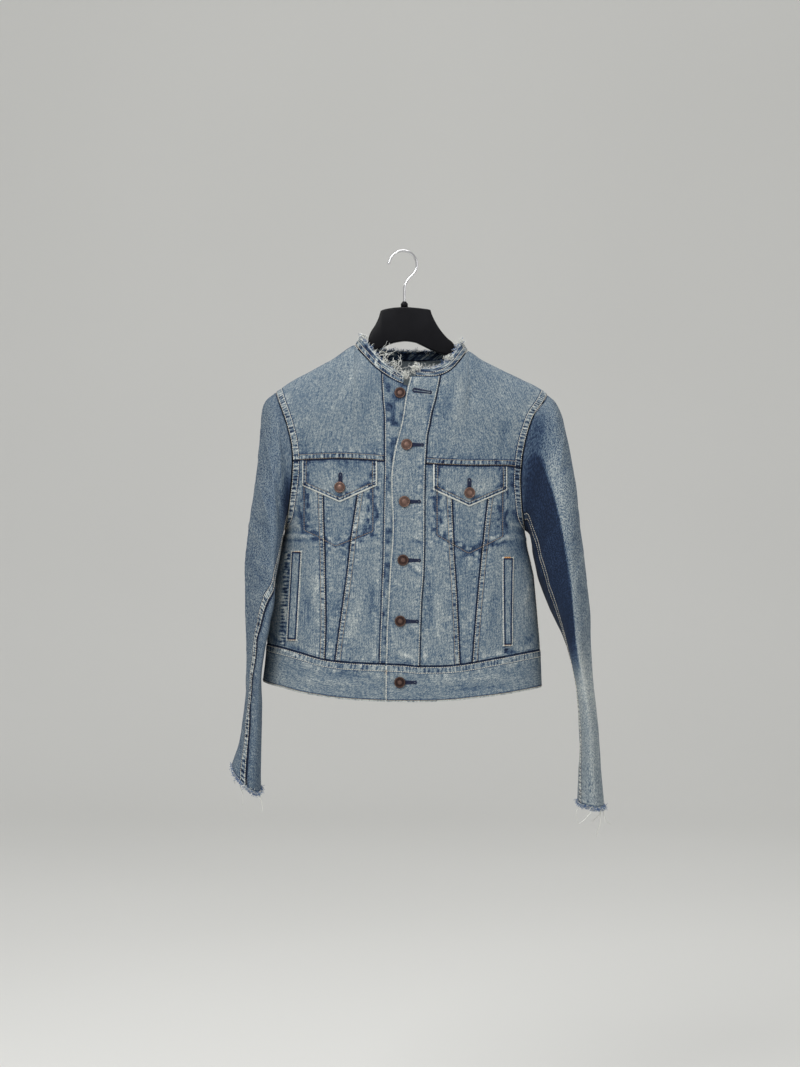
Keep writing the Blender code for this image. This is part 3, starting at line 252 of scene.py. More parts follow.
SLEEVE_FOLDS = {
    # along: 0 at the armhole, 1 at the cuff; around: degrees; spans of each; height
    "right": (
        (0.10, 60, 0.05, 30, 2.2), (0.20, 100, 0.035, 26, -2.0), (0.30, 40, 0.045, 28, 2.4),
        (0.40, 70, 0.03, 24, -2.0), (0.47, 25, 0.03, 26, 2.2), (0.55, 300, 0.035, 30, -2.2),
        (0.62, 60, 0.03, 26, 1.8), (0.75, 30, 0.04, 30, 1.6), (0.28, 290, 0.05, 34, 2.6),
        (0.42, 255, 0.035, 30, -2.4), (0.86, 320, 0.04, 36, 1.6),
    ),
    "left": (
        (0.12, 40, 0.05, 30, 2.4), (0.22, 130, 0.035, 24, -2.2), (0.30, 20, 0.05, 28, 2.2),
        (0.38, 140, 0.03, 24, 2.2), (0.45, 60, 0.035, 24, -1.8), (0.55, 15, 0.04, 28, 1.8),
        (0.66, 45, 0.04, 26, -1.8), (0.80, 30, 0.045, 30, 1.8), (0.30, 285, 0.05, 34, 2.6),
        (0.44, 250, 0.035, 30, -2.4), (0.86, 310, 0.04, 36, 1.6),
    ),
}

BUTTONS = (
    # name           x       z      lift above the torso surface
    ("button_1", -4.5, -210.9, 0.0),
    ("button_2", 5.2, -285.7, 2.0),
    ("button_3", 1.9, -367.9, 2.0),
    ("button_4", -0.1, -452.1, 2.0),
    ("button_5", -4.1, -539.8, 2.0),
    ("button_6", -4.7, -627.8, 3.2),
    ("button_right_flap", -90.7, -347.2, 2.0),
    ("button_left_flap", 95.3, -355.1, 2.0),
)

# Hanger: sections along x; the arms' tops follow the cloth that they carry.
HANGER = (
    # x       top    bottom  half thickness
    (-181, -202.0, -219.0, 13.0),
    (-172, -194.0, -220.0, 18.0),
    (-150, -182.0, -213.0, 18.0),
    (-130, -171.0, -203.0, 17.0),
    (-108, -159.0, -193.0, 15.0),
    (-84, -149.2, -180.0, 12.0),
    (-68, -143.0, -168.0, 10.0),
    (-58, -143.0, -157.0, 8.5),
    (-52.5, -138.5, -149.0, 8.5),
    (-50.5, -126.0, -146.0, 8.5),
    (-47.3, -117.9, -144.6, 8.5),
    (-40.4, -106.9, -143.9, 8.5),
    (-35.7, -96.6, -143.0, 8.5),
    (-32.3, -86.7, -141.6, 8.5),
    (-21.3, -83.4, -136.4, 8.5),
    (-10.3, -81.9, -133.0, 8.5),
    (3.4, -81.3, -131.3, 8.5),
    (17.2, -82.2, -133.0, 8.5),
    (26.8, -83.2, -137.1, 8.5),
    (39.8, -85.4, -143.4, 8.5),
    (42.5, -92.5, -144.7, 8.5),
    (48.1, -104.2, -146.9, 8.5),
    (55.6, -115.8, -149.8, 8.5),
    (65.1, -126.9, -151.8, 8.5),
    (74.8, -136.1, -154.0, 8.5),
    (76.8, -148.0, -157.0, 8.5),
    (94, -154.0, -175.0, 10.0),
    (106, -155.0, -184.0, 12.0),
    (124, -163.0, -195.0, 15.0),
    (147, -176.0, -207.0, 17.0),
    (177, -190.0, -217.0, 18.0),
    (198, -201.0, -224.0, 18.0),
    (207, -208.0, -222.0, 13.0),
)
HANGER_BEVEL = 2.6
HANGER_CLEARANCE = 1.2
WIRE = 3.8                # thickness of the hook's wire
HOOK_RADIUS = 20.5        # to the middle of the wire
HOOK_CENTRE = WIRE / 2 - HOOK_RADIUS
HOOK_TIP_ANGLE, HOOK_HEEL_ANGLE = 178.0, -48.0
HOOK_LIP = (-23.4, HOOK_CENTRE + 2.9)     # the tip turns out a little
SHANK_X = 2.0
SHANK_BEND = -54.0        # where the wire has come back over the ferrule
SHANK_FOOT = -80.9
FERRULE = (
    # radius, height above the shank's foot
    (0.0, 0.0), (5.2, 0.0), (5.2, 4.6), (4.9, 5.3), (3.7, 6.3), (3.3, 7.0), (3.0, 7.8), (2.6, 8.0),
    (0.0, 8.0),
)

SIDES = ("right", "left")


# Curves through tables

def curve(points, at):
    """Smooth curve through (key, value) points, with no overshoot between them."""
    table = np.array(sorted(points), float)
    keys, values = table[:, 0], table[:, 1]
    steps = np.diff(values) / np.diff(keys)
    slopes = np.zeros(len(keys))
    slopes[0], slopes[-1] = steps[0], steps[-1]
    inner = steps[:-1] * steps[1:] > 0
    slopes[1:-1][inner] = 2 * steps[:-1][inner] * steps[1:][inner] / (steps[:-1] + steps[1:])[inner]
    at = np.clip(np.asarray(at, float), keys[0], keys[-1])
    i = np.clip(np.searchsorted(keys, at) - 1, 0, len(keys) - 2)
    span = keys[i + 1] - keys[i]
    t = (at - keys[i]) / span
    return ((1 + 2 * t) * (1 - t) ** 2 * values[i] + t * (1 - t) ** 2 * span * slopes[i]
            + t * t * (3 - 2 * t) * values[i + 1] + t * t * (t - 1) * span * slopes[i + 1])


def column(table, number):
    """(key, value) points of one column of a table whose first column is the key."""
    return [(row[0], row[number]) for row in table]


def straight(points, at):
    """Straight runs through (key, value) points."""
    table = np.array(sorted(points), float)
    return np.interp(at, table[:, 0], table[:, 1])


# The torso surface. p runs across a front or back: -1 at the right side, 0 at the middle and
# 1 at the left side, evenly along the cloth. Depth down the cloth is w, 0 at the shoulder line.

def quarter_section():
    """Even steps along one quarter of a section of half width 1: fraction, x and y share."""
    angle = np.linspace(0, math.pi / 2, 3000)
    x = np.sin(angle) ** (2 / GIRTH_POWER)
    y = np.cos(angle) ** (2 / GIRTH_POWER)
    length = np.concatenate(([0], np.cumsum(np.hypot(np.diff(x), GIRTH_DEPTH * np.diff(y)))))
    return length / length[-1], x, y


GIRTH, ACROSS, DEEP = quarter_section()


def half_width(p_or_x, z):
    right = curve(column(TORSO, 1), z)
    left = curve(column(TORSO, 2), z)
    return np.where(np.asarray(p_or_x) < 0, right, left)


def p_at(x, z):
    share = np.clip(np.abs(x) / half_width(x, z), 0, 1)
    return np.sign(x) * np.interp(share, ACROSS, GIRTH)


def x_at(p, z):
    return np.sign(p) * half_width(p, z) * np.interp(np.abs(p), GIRTH, ACROSS)


def depth_w(x, z):
    """How far down the cloth z is at x: a quarter turn over the shoulder, then straight."""
    drop = np.clip((curve(SHOULDER, x) - z) / CAP, 0, None)
    over = np.arccos(np.clip(1 - drop, 0, 1))
    return np.where(drop < 1, over, math.pi / 2 + drop - 1)


def height(x, w):
    drop = np.where(w < math.pi / 2, 1 - np.cos(w), 1 + w - math.pi / 2)
    return curve(SHOULDER, x) - CAP * drop


def from_line(x, z, x1, z1, x2, z2):
    """Share of the way along a straight line, and the distance from it."""
    run, fall = x2 - x1, z2 - z1
    share = np.clip(((x - x1) * run + (z - z1) * fall) / (run ** 2 + fall ** 2), 0, 1)
    return share, np.hypot(x - x1 - share * run, z - z1 - share * fall)


def fold_height(side, x, z):
    total = np.zeros(np.broadcast(x, z).shape)
    for x1, z1, x2, z2, width, rise in FOLDS[side]:
        _, away = from_line(x, z, x1, z1, x2, z2)
        total = total + rise * np.exp(-(away / width) ** 2)
    return total


def torso_point(side, p, w):
    """Points of the torso surface, in millimetres."""
    facing, reach = (-1, 3) if side == "front" else (1, 4)
    z = height(x_at(p, ARMPIT), w)
    for _ in range(8):
        z = height(x_at(p, z), w)
    x = x_at(p, z)
    over = np.sin(np.clip(w, 0, math.pi / 2))
    deep = np.interp(np.abs(p), GIRTH, DEEP)
    y = facing * deep * over * (curve(column(TORSO, reach), z) + fold_height(side, x, z))
    return np.stack([x, y, z], -1)


def unit(vectors):
    return vectors / np.maximum(np.linalg.norm(vectors, axis=-1, keepdims=True), 1e-9)


def torso_normal(side, p, w):
    """Outward directions, measured a little inside the ends of the ranges."""
    p = np.clip(p, -0.985, 0.985)
    w = np.clip(w, 0.02, None)
    across = torso_point(side, p + 0.004, w) - torso_point(side, p - 0.004, w)
    down = torso_point(side, p, w + 0.012) - torso_point(side, p, w - 0.012)
    return unit(np.cross(across, down)) * (-1 if side == "front" else 1)


def at_xz(side, x, z):
    """One point of the surface and its outward direction, from x and z."""
    p, w = p_at(x, z), depth_w(x, z)
    return torso_point(side, p, w), torso_normal(side, p, w)


def along(points):
    """A seam given as (z, x) or (x, z) points, as a function."""
    return lambda at: curve(points, at)


def constant(value):
    return lambda at: np.full(np.shape(at), float(value))


def patch(side, left, right, top, bottom, columns, rows):
    """Grid of points and outward directions between four seams.

    left and right give x at a height, top and bottom give z at an x.
    """
    u, v = np.meshgrid(columns, rows)
    z = np.full(u.shape, float(np.mean([top(0.0), bottom(0.0)])))
    for _ in range(14):
        p_left, p_right = p_at(left(z), z), p_at(right(z), z)
        p = p_left + (p_right - p_left) * u
        x = x_at(p, z)
        w_top, w_bottom = depth_w(x, top(x)), depth_w(x, bottom(x))
        w = w_top + (w_bottom - w_top) * v
        z = height(x, w)
    return torso_point(side, p, w), torso_normal(side, p, w)


def keep_back(grid, sides="lrtb", amount=SEAM_GAP):
    """Draw a grid's edges in from its seams: left, right, top, bottom."""
    grid = grid.copy()
    for mark, edge, inner in (("l", np.s_[:, 0], np.s_[:, 1]), ("r", np.s_[:, -1], np.s_[:, -2]),
                              ("t", np.s_[0], np.s_[1]), ("b", np.s_[-1], np.s_[-2])):
        if mark in sides:
            grid[edge] += unit(grid[inner] - grid[edge]) * amount
    return grid

def even(count):
    return np.linspace(0, 1, count)


def outer_line(number, sign):
    """The armhole above the armpit and the side seam below it."""
    def x_of(z):
        return np.where(z > ARMPIT, curve(column(ARMHOLE, number), z), sign * ALL_THE_WAY)
    return x_of


def share_across(left, right, x):
    """Share of the way from one edge to the other at which a patch's column meets the
    shoulder line at x, so that a corner of its top edge falls on a column."""
    z = float(curve(SHOULDER, x))
    start, end = p_at(left(z), z), p_at(right(z), z)
    return float((p_at(x, z) - start) / (end - start))


def neck_band_grid(seam):
    """The band's foot, the way up it and its outward directions, from points of the seam."""
    inward = unit((np.array(NECK_CENTRE) - seam) * (1, 1, 0))
    rise = inward * BAND_LEAN + np.array([0, 0, BAND_RISE])
    tangent = np.gradient(seam, axis=0)
    out = unit(np.cross(rise, tangent))
    out *= np.sign((out * -inward).sum(1, keepdims=True))
    return seam + unit(rise) * NECK_GAP, rise, out


# Sleeves. A section is a rounded outline through its outer, front, inner and back points.

def section_point(outer, front, inner, back, degrees):
    angle = np.radians(degrees)
    centre = (outer + inner) / 2
    c = np.sign(np.cos(angle)) * np.abs(np.cos(angle)) ** (2 / SLEEVE_POWER)
    s = np.abs(np.sin(angle)) ** (2 / SLEEVE_POWER)
    reach = np.where((np.sin(angle) > 0)[..., None], front - centre, back - centre)
    return centre + (outer - centre) * c[..., None] + reach * s[..., None]


def armhole_ring(side, degrees):
    """The armhole's edge on the torso, by the same angles as a sleeve's sections."""
    number = 1 if side == "right" else 2
    angle = np.radians(degrees)
    top = float(curve(SHOULDER, RIGHT_TIP if side == "right" else LEFT_TIP))
    c = np.sign(np.cos(angle)) * np.abs(np.cos(angle)) ** (2 / SLEEVE_POWER)
    z = (top + ARMPIT) / 2 + (top - ARMPIT) / 2 * c
    x = curve(column(ARMHOLE, number), z)
    points = np.zeros(z.shape + (3,))
    for face in ("front", "back"):
        chosen = (np.sin(angle) > 0) == (face == "front")
        p, w = p_at(x, z), depth_w(x, z)
        points[chosen] = torso_point(face, p, w)[chosen]
    return points


def sleeve_sections(side, degrees):
    """The armhole and every section of the table, each at the same angles."""
    rings = [armhole_ring(side, degrees)]
    for ox, oz, fx, fy, fz, ix, iz, by, _ in SLEEVES[side]:
        middle = (fy + by) / 2
        outer, inner = np.array([ox, middle, oz]), np.array([ix, middle, iz])
        front = np.array([fx, fy, fz])
        back = np.array([(ox + ix) / 2, by, (oz + iz) / 2])
        rings.append(section_point(outer, front, inner, back, degrees))
    rings = np.array(rings)
    rings[0] += unit(rings[1] - rings[0]) * ARMHOLE_STEP
    return rings


def between_sections(rings, share):
    """Smooth points between sections; share counts sections from the armhole."""
    slopes = np.gradient(rings, axis=0)
    i = np.clip(np.floor(share).astype(int), 0, len(rings) - 2)
    t = (share - i)[..., None]
    index = np.broadcast_to(i[..., None], share.shape + (3,))[None]

    def pick(stack, step):
        return np.take_along_axis(stack, index + step, 0)[0]

    return ((1 + 2 * t) * (1 - t) ** 2 * pick(rings, 0) + t * (1 - t) ** 2 * pick(slopes, 0)
            + t * t * (3 - 2 * t) * pick(rings, 1) + t * t * (t - 1) * pick(slopes, 1))


def sleeve_folds(side, share, degrees):
    total = np.zeros(degrees.shape)
    for along_, around, span, spread, rise in SLEEVE_FOLDS[side]:
        turn = (degrees - around + 180) % 360 - 180
        total += rise * np.exp(-((share - along_) / span) ** 2 - (turn / spread) ** 2)
    return total


def sleeve_surface(side, share, degrees):
    """A sleeve's surface with its folds, and its outward directions."""
    def at(step, turn):
        return between_sections(sleeve_sections(side, degrees + turn), share + step)

    down, across = at(0.06, 0) - at(-0.06, 0), at(0, 2.5) - at(0, -2.5)
    out = unit(np.cross(down, across)) * (1 if side == "right" else -1)
    lift = sleeve_folds(side, share / len(SLEEVES[side]), degrees) * np.clip(share / 1.5, 0, 1)
    return at(0, 0) + out * lift[..., None], out


def front_seam(side):
    """Angles of the front seam at the armhole and at each section."""
    seams = [row[-1] for row in SLEEVES[side]]
    return np.array([seams[0]] + seams, float)


def under_cloth(x, y):
    """Height just under the cloth over the shoulders, at x and a distance y from the ridge."""
    z = float(curve(SHOULDER, x))
    deep = np.interp(abs(float(p_at(x, z - 20))), GIRTH, DEEP)
    reach = deep * min(float(curve(column(TORSO, 3), z)), float(curve(column(TORSO, 4), z)))
    lean = min(abs(y) / reach, 0.95)
    slope = CAP / reach * lean / math.sqrt(1 - lean * lean)
    ridge_slope = float(curve(SHOULDER, x + 2) - curve(SHOULDER, x - 2)) / 4
    stretch = math.sqrt(1 + slope * slope + ridge_slope * ridge_slope)
    return z - CAP * (1 - math.sqrt(1 - lean * lean)) - (DENIM + HANGER_CLEARANCE) * stretch


# Fine creases: narrow soft ridges, and troughs (negative height). tone pales the ridges as wear and darkens
# the troughs, partly as unfaded indigo and partly as painted shade.
CREASES = {
    # x1, z1, x2, z2, width, height, tone
    "front": (
        (-178, -419, -134, -417.5, 4.2, 0.9, 0.41), (-176, -424.5, -138, -423, 2.6, -0.8, -0.8),
        (-172, -412, -150, -410, 3, -0.5, -0.5), (8, -419, 31, -420.5, 3.9, 0.7, 0.36),
        (10, -424, 30, -426, 2.6, -0.6, -0.6), (160, -420, 186, -421, 4.2, 0.9, 0.41),
        (118, -423, 158, -420, 3.4, 0.8, 0.7), (122, -429, 166, -427, 2.8, -0.7, -0.7),
        (-110, -428, -84, -431, 3.6, 0.7, 0.5), (-97, -434, -97, -452, 3.4, 0.6, 0.5),
        (-103, -433, -114, -448, 3, -0.5, -0.5), (-90, -432, -80, -447, 3, -0.5, -0.4),
        (94.7, -444, 96, -463, 3.4, 0.6, 0.5), (88, -442, 80, -458, 3, -0.5, -0.4),
        (101, -441, 112, -456, 3, -0.5, -0.5), (14, -457, 30, -472, 3, 0.6, 0.6),
        (10, -461, 24, -479, 2.8, -0.5, -0.5), (12, -546, 27, -560, 3, 0.6, 0.6),
        (6, -551, 22, -569, 2.8, -0.6, -0.5), (-6, -584, 18, -596, 3.2, 0.7, 0.7),
        (-12, -591, 12, -602, 2.8, -0.6, -0.7), (-168, -574, -148, -584, 4, -0.9, -1),
        (-172, -584, -150, -592, 3.2, 0.6, 0.6), (142, -581, 164, -588, 4, -0.9, -1),
        (138, -589, 168, -592, 3.2, 0.6, 0.5), (-168, -398, -152, -380, 4, -0.8, -0.7),
        (-166, -404, -146, -398, 3.4, 0.7, 0.6), (171, -398, 158, -378, 4, -0.8, -0.7),
        (172, -404, 154, -399, 3.4, 0.7, 0.6), (-152, -322, -160, -345, 4.5, -0.8, -0.9),
        (158, -326, 164, -352, 4.5, -0.8, -0.9), (-60, -382, -70, -410, 4, 0.6, 0.5),
        (-52, -392, -58, -424, 3.6, -0.5, -0.5), (58, -386, 66, -412, 4, 0.6, 0.5),
        (136, -386, 128, -412, 4, -0.5, -0.5), (-140, -500, -136, -545, 5, -0.8, -0.5),
        (-126, -470, -128, -520, 5, 0.7, 0.4), (132, -500, 130, -550, 5, -0.8, -0.5),
        (-60, -500, -74, -560, 6, 0.8, 0.4), (-44, -480, -46, -560, 5, -0.7, -0.5),
        (48, -500, 52, -570, 6, 0.8, 0.4), (40, -470, 38, -545, 5, -0.7, -0.5),
        (-188, -480, -176, -520, 5, 0.9, 0.5), (188, -470, 176, -520, 5, 0.9, 0.5),
        (-196, -560, -178, -575, 4, -0.7, -0.6), (192, -560, 176, -574, 4, -0.7, -0.6),
        (-70, -180, -98, -236, 6, 0.7, 0.3), (-48, -196, -62, -262, 6, -0.7, -0.3),
        (86, -186, 78, -250, 6, 0.7, 0.3), (66, -200, 58, -262, 6, -0.6, -0.3),
        (40, -214, 36, -262, 4, -0.5, -0.5), (-152, -262, -138, -300, 6, -0.7, -0.4),
        (150, -250, 142, -296, 6, -0.7, -0.4), (-40, -618, -10, -623, 3.4, 0.6, 0.5),
        (-150, -624, -70, -632, 3.6, 0.7, 0.4), (-120, -615, -60, -618, 3, -0.5, -0.4),
        (40, -628, 140, -620, 3.6, 0.7, 0.4), (60, -640, 150, -634, 3, -0.5, -0.4),
    ),
    "back": (
        (-160, -310, -120, -380, 7, 1.2, 0.4), (162, -312, 126, -386, 7, 1.2, 0.4),
        (-172, -400, -128, -412, 4.5, 0.9, 0.8), (176, -402, 130, -414, 4.5, 0.9, 0.8),
        (-150, -424, -96, -432, 4, -0.8, -0.6), (152, -428, 92, -434, 4, -0.8, -0.6),
        (-64, -420, 20, -432, 4.6, 0.8, 0.5), (-20, -446, 70, -438, 4.6, -0.7, -0.5),
        (-84, -480, -70, -560, 6, 0.9, 0.4), (80, -490, 66, -566, 6, 0.9, 0.4),
        (-30, -500, -24, -570, 6, -0.8, -0.4), (34, -506, 28, -572, 6, -0.8, -0.4),
        (-150, -560, -120, -578, 4.4, -0.8, -0.8), (150, -562, 122, -580, 4.4, -0.8, -0.8),
        (-110, -190, -60, -214, 7, 0.8, 0.3), (118, -192, 66, -216, 7, 0.8, 0.3),
        (-130, -606, -60, -612, 3.6, 0.7, 0.5), (50, -614, 140, -608, 3.6, 0.7, 0.5),
    ),
}
SLEEVE_CREASES = {
    # along (sections), around (degrees) at both ends; width and height; tone
    "right": (
        (0.6, 40, 1.6, 90, 5.0, 1.2, 0.6), (1.2, 120, 2.2, 70, 4.5, -1.1, -0.7),
        (1.9, 20, 2.6, 80, 4.5, 1.1, 0.6), (2.6, 95, 3.4, 30, 4.2, -1.0, -0.7),
        (3.2, 10, 3.6, 70, 4.0, 1.1, 0.7), (3.8, 80, 4.3, 20, 3.8, -1.0, -0.8),
        (4.3, -10, 4.6, 60, 3.8, 1.0, 0.7), (4.7, 90, 5.1, 30, 3.6, 1.0, 0.7),
        (5.1, 10, 5.4, 75, 3.6, -1.1, -0.8), (5.5, 80, 6.0, 20, 3.8, 1.0, 0.7),
        (6.1, 5, 6.5, 60, 3.6, -0.9, -0.7), (6.8, 60, 7.6, 20, 4.0, 0.9, 0.5),
        (7.8, 10, 8.6, 50, 4.0, -0.9, -0.6), (8.8, 60, 9.8, 30, 4.2, 0.9, 0.5),
        (9.8, 0, 10.6, 40, 4.0, -0.8, -0.5), (2.2, 300, 3.2, 240, 4.6, 1.1, 0.6),
        (3.6, 310, 4.4, 250, 4.4, -1.1, -0.7), (4.8, 240, 5.4, 310, 4.0, 1.1, 0.7),
        (5.8, 320, 6.4, 250, 4.0, -1.0, -0.7), (7.4, 250, 8.4, 310, 4.4, 0.9, 0.5),
        (1.0, 330, 2.0, 290, 5.0, 1.0, 0.5),
    ),
    "left": (
        (0.5, 30, 1.4, 80, 5.0, 1.2, 0.6), (1.1, 110, 2.0, 60, 4.5, -1.1, -0.7),
        (1.8, 10, 2.6, 70, 4.5, 1.1, 0.6), (2.4, 85, 3.1, 20, 4.2, -1.0, -0.6),
        (3.0, 140, 3.6, 80, 4.0, 1.1, 0.7), (3.6, 60, 4.2, 0, 4.0, 1.0, 0.6),
        (4.2, 100, 4.6, 30, 3.8, -1.0, -0.7), (4.8, 10, 5.2, 70, 3.6, 1.0, 0.7),
        (5.4, 70, 5.9, 5, 3.6, -1.0, -0.7), (6.0, 20, 6.6, 75, 3.8, 1.0, 0.6),
        (6.8, 60, 7.4, 10, 3.8, -0.9, -0.6), (7.6, 20, 8.4, 60, 4.0, 0.9, 0.5),
        (8.6, 50, 9.4, 10, 4.0, -0.8, -0.5), (9.4, 20, 10.4, 50, 4.2, 0.8, 0.5),
        (2.0, 300, 3.0, 240, 4.6, 1.1, 0.6), (3.4, 310, 4.2, 250, 4.4, -1.1, -0.7),
        (4.6, 240, 5.2, 310, 4.0, 1.1, 0.7), (5.6, 320, 6.2, 250, 4.0, -1.0, -0.7),
        (7.2, 250, 8.2, 310, 4.4, 0.9, 0.5), (1.0, 330, 2.0, 290, 5.0, 1.0, 0.5),
    ),
}
SLEEVE_WEAR = {
    "sleeve_upper_right": 0.49, "sleeve_under_right": 0.47,
    "sleeve_upper_left": 0.54, "sleeve_under_left": 0.50,
}
# Angles round each sleeve past which painted armpit shade comes in.
ARMPIT_SHADE_TURN = {"right": (88.0, 116.0), "left": (30.0, 76.0)}
FOLD_END = {"right": (6.0, 3.5), "left": (8.0, 6.4)}      # sections over which the fold opens out
FOLD_ANGLE = {"right": 96.0, "left": 88.0}      # where the front fold runs round each sleeve
SEAM_FADE = {"right": 0.66, "left": 0.10}       # how much less dark the cloth is near the front seam
LOW_SLEEVE_TONE = {"right": 0.0, "left": 0.30}
# Strengths of the sleeves' painted light: painted shade over less washed cloth inside the front fold, wear
# with painted highlight beside it, painted shade at the armpit.
SLEEVE_SHADE_AND_WEAR_TONES = {"right": (0.25, 0.05, 1.5), "left": (1.70, 0.30, 0.9)}      # inner, beside, armpit
SECTION_STEP = 54.0      # usual distance between two sections of a sleeve
DEGREE_STEP = 0.72       # usual distance round a sleeve for each degree

# How each edge of a piece is finished. The band is the strip between two rows of sewing. The dark line along
# a seam is partly unfaded indigo and partly painted shadow in the seam's crease.
EDGES = {
    # name       band  dark line  worn edge  ladder  halo  groove  pucker
    "armhole": (10.5, 1.2, 0.0, 1.4, 0.8, 0.7, 0.45),
    "felled": (7.6, 1.8, 0.0, 0.85, 0.7, 0.7, 0.45),
    "yoke": (8.6, 1.6, 0.0, 1.05, 0.9, 0.7, 0.45),
    "under": (3.0, 1.6, 0.0, 0.4, 0.8, 0.6, 0.40),
    "sleeve": (13.0, 2.3, 0.0, 1.8, 0.3, 0.8, 0.50),
    "soft": (3.0, 0.9, 0.0, 0.4, 0.8, 0.6, 0.40),
    "turned": (5.0, 0.0, 0.3, 0.3, 0.5, 0.5, 0.25),
    "flap": (6.0, 0.0, 1.1, 1.1, 0.3, 0.5, 0.25),
    "welt": (0.0, 0.0, 0.35, 0.0, 0.0, 0.5, 0.0),
    "band": (9.6, 1.6, 0.0, 0.75, 0.9, 0.7, 0.45),
    "plain": (0.0, 0.7, 0.0, 0.0, 0.3, 0.3, 0.0),
    "hem": (0.0, 0.0, 0.6, 0.0, 0.3, 0.5, 0.0),
}
LADDER_PITCH = 5.6
LADDER_JITTER = (3.2, 15.0)      # how far the rungs wander, and how quickly
WELT_RUNGS = 5.2         # the same pitch beside the welts
LUMPS = ((26.0, 0.55), (9.0, 0.22))      # unevenness: size across and height
SEAM_ALLOWANCE, NARROW_ALLOWANCE = 12.0, 0.25

# Rows of sewing, each as long as its edge less the trims.
ROWS = (
    # piece (* is each side), its edges, trim at both ends, then thread and distance in of each row
    ("front_yoke_*", "u0", (2, 1), ("ecru", 1.6), ("ecru", 10.2)),
    ("front_yoke_*", "v1", (11, 1), ("tan", 1.5), ("tan", 8.0)),
    ("front_side_*", "u0", (1, 1), ("ecru", 1.6), ("ecru", 10.2)),
    ("front_side_*", "u1", (1, 1), ("ecru", 1.4), ("tan", 7.0)),
    ("front_centre_*", "u0", (1, 1), ("ecru", 1.4), ("tan", 7.0)),
    ("placket_buttonhole_side", "u0", (1, 1), ("ecru", 1.6)),
    ("placket_buttonhole_side", "u1", (1, 1), ("ecru", 1.5)),
    ("placket_button_side", "u0", (1, 1), ("ecru", 1.5)),
    ("pocket_flap_*", "u0 u1 v1", (1, 1), ("ecru", 1.6)),
    ("pocket_flap_*", "u0 u1", (1, 7), ("tan", 6.6)),
    ("pocket_flap_*", "v1", (7, 7), ("tan", 6.6)),
    ("pocket_welt_*", "u0 u1 v0 v1", (1, 1), ("ecru", 1.4)),
    ("waistband", "v0", (2, 2), ("ecru", 1.6), ("ecru", 9.6)),
    ("waistband", "u0", (2, 2), ("ecru", 2.2)),
    ("waistband", "v1", (2, 2), ("tan", 2.4)),
    ("neck_band", "v1", (1, 1), ("ecru", 1.4), ("ecru", 7.4)),
    ("back_yoke", "v1", (11, 11), ("tan", 1.5), ("tan", 8.0)),
    ("back_yoke", "u0 u1", (2, 1), ("ecru", 1.6), ("ecru", 10.2)),
    ("back_side_*", "u0", (1, 1), ("ecru", 1.6), ("ecru", 10.2)),
    ("back_side_*", "u1", (1, 1), ("ecru", 1.4), ("tan", 7.0)),
    ("sleeve_upper_*", "u0 u1", (1, 3), ("ecru", 3.0), ("ecru", 12.2)),
)
THREADS = {
    "ecru": (0.74, 0.71, 0.61),
    "tan": (0.34, 0.27, 0.19),
    "orange": (0.62, 0.27, 0.05),
    "indigo": (0.018, 0.026, 0.060),
}
# Buttonholes: centre, length and tilt in degrees; upright ones are on the flaps.
BUTTONHOLES = (
    # x      z      length  tilt
    (27.5, -208.4, 23.0, -8.0),
    (16.0, -285.9, 23.0, -1.0),
    (11.5, -368.0, 23.0, 0.0),
    (11.5, -452.4, 23.0, -1.0),
    (8.5, -540.2, 23.0, -1.0),
    (6.5, -628.0, 21.0, 0.0),
    (-90.3, -338.6, 20.0, 90.0),
    (95.6, -346.5, 20.0, 90.0),
)
BUTTONHOLE_WIDTH, PURL_PITCH = 6.2, 0.8
STITCH_HALF = 0.55       # half length of a stitch over its share of the pitch: it dips in at both ends
BAR_TACKS = (
    # x      z      length  tilt: short dense bars of thread
    (-153.8, -439.5, 9.0, 0.0), (-160.8, -568.5, 9.0, 0.0),
    (151.5, -448.6, 9.0, 0.0), (151.2, -575.9, 9.0, 0.0),
    (-24.8, -613.0, 7.0, 90.0),
)

BUTTON_TURNING = (
    # radius  height
    (0.0, 0.0), (3.2, 0.0), (3.2, 1.3), (7.5, 1.4), (8.0, 1.6), (8.1, 2.1), (7.9, 2.6), (7.5, 2.9),
    (7.0, 2.98), (6.6, 2.85), (6.3, 2.55), (5.95, 2.5), (5.7, 2.68), (5.4, 2.8), (5.1, 2.68), (4.85, 2.6),
    (4.3, 2.64), (4.0, 2.8), (3.7, 2.66), (3.3, 2.7), (2.7, 2.9), (1.6, 2.98), (0.7, 3.0), (0.0, 3.0),
)
BUTTON_PATINA = {"button_1": 0.75, "button_4": 0.75, "button_5": 0.8, "button_6": 0.85}
USUAL_PATINA = 0.35
RUBBED_PLASTIC = (0.010, 0.010, 0.012)
DULL_STEEL = (0.50, 0.50, 0.52)

MIDDLE = (0.0, 0.0, -0.42)
LAMPS = (
    # name       place             aimed at    size  setting      share of its power
    ("key", (-1.3, -2.6, 1.5), MIDDLE, 1.4, "key_power", 1.0),
    ("fill", (2.4, -2.4, 0.2), MIDDLE, 2.0, "fill_power", 1.0),
    ("top", (0.0, 0.3, 2.4), MIDDLE, 1.8, "key_power", 0.5),
    ("backdrop", (0.0, 2.2, 4.2), (0.0, 8.0, -0.6), 3.0, "key_power", 0.8),
)
EYE_X, EYE_Z = -4.4, -413.8                # where the camera looks, level, in millimetres
SWEEP_NEAR, SWEEP_FAR = -9.0, 8.0          # the backdrop's ends, in metres
SWEEP_WIDTH, SWEEP_HEIGHT, SWEEP_RADIUS = 26.0, 12.0, 3.0

WEFT = (0.34, 0.38, 0.38)

MADE = {}       # the cloth of each piece, by name


# Settings that a user would change

def length(label, text, millimetres):
    return bpy.props.FloatProperty(name=label, description=text, default=millimetres * METRES,
                                   unit="LENGTH", precision=5)


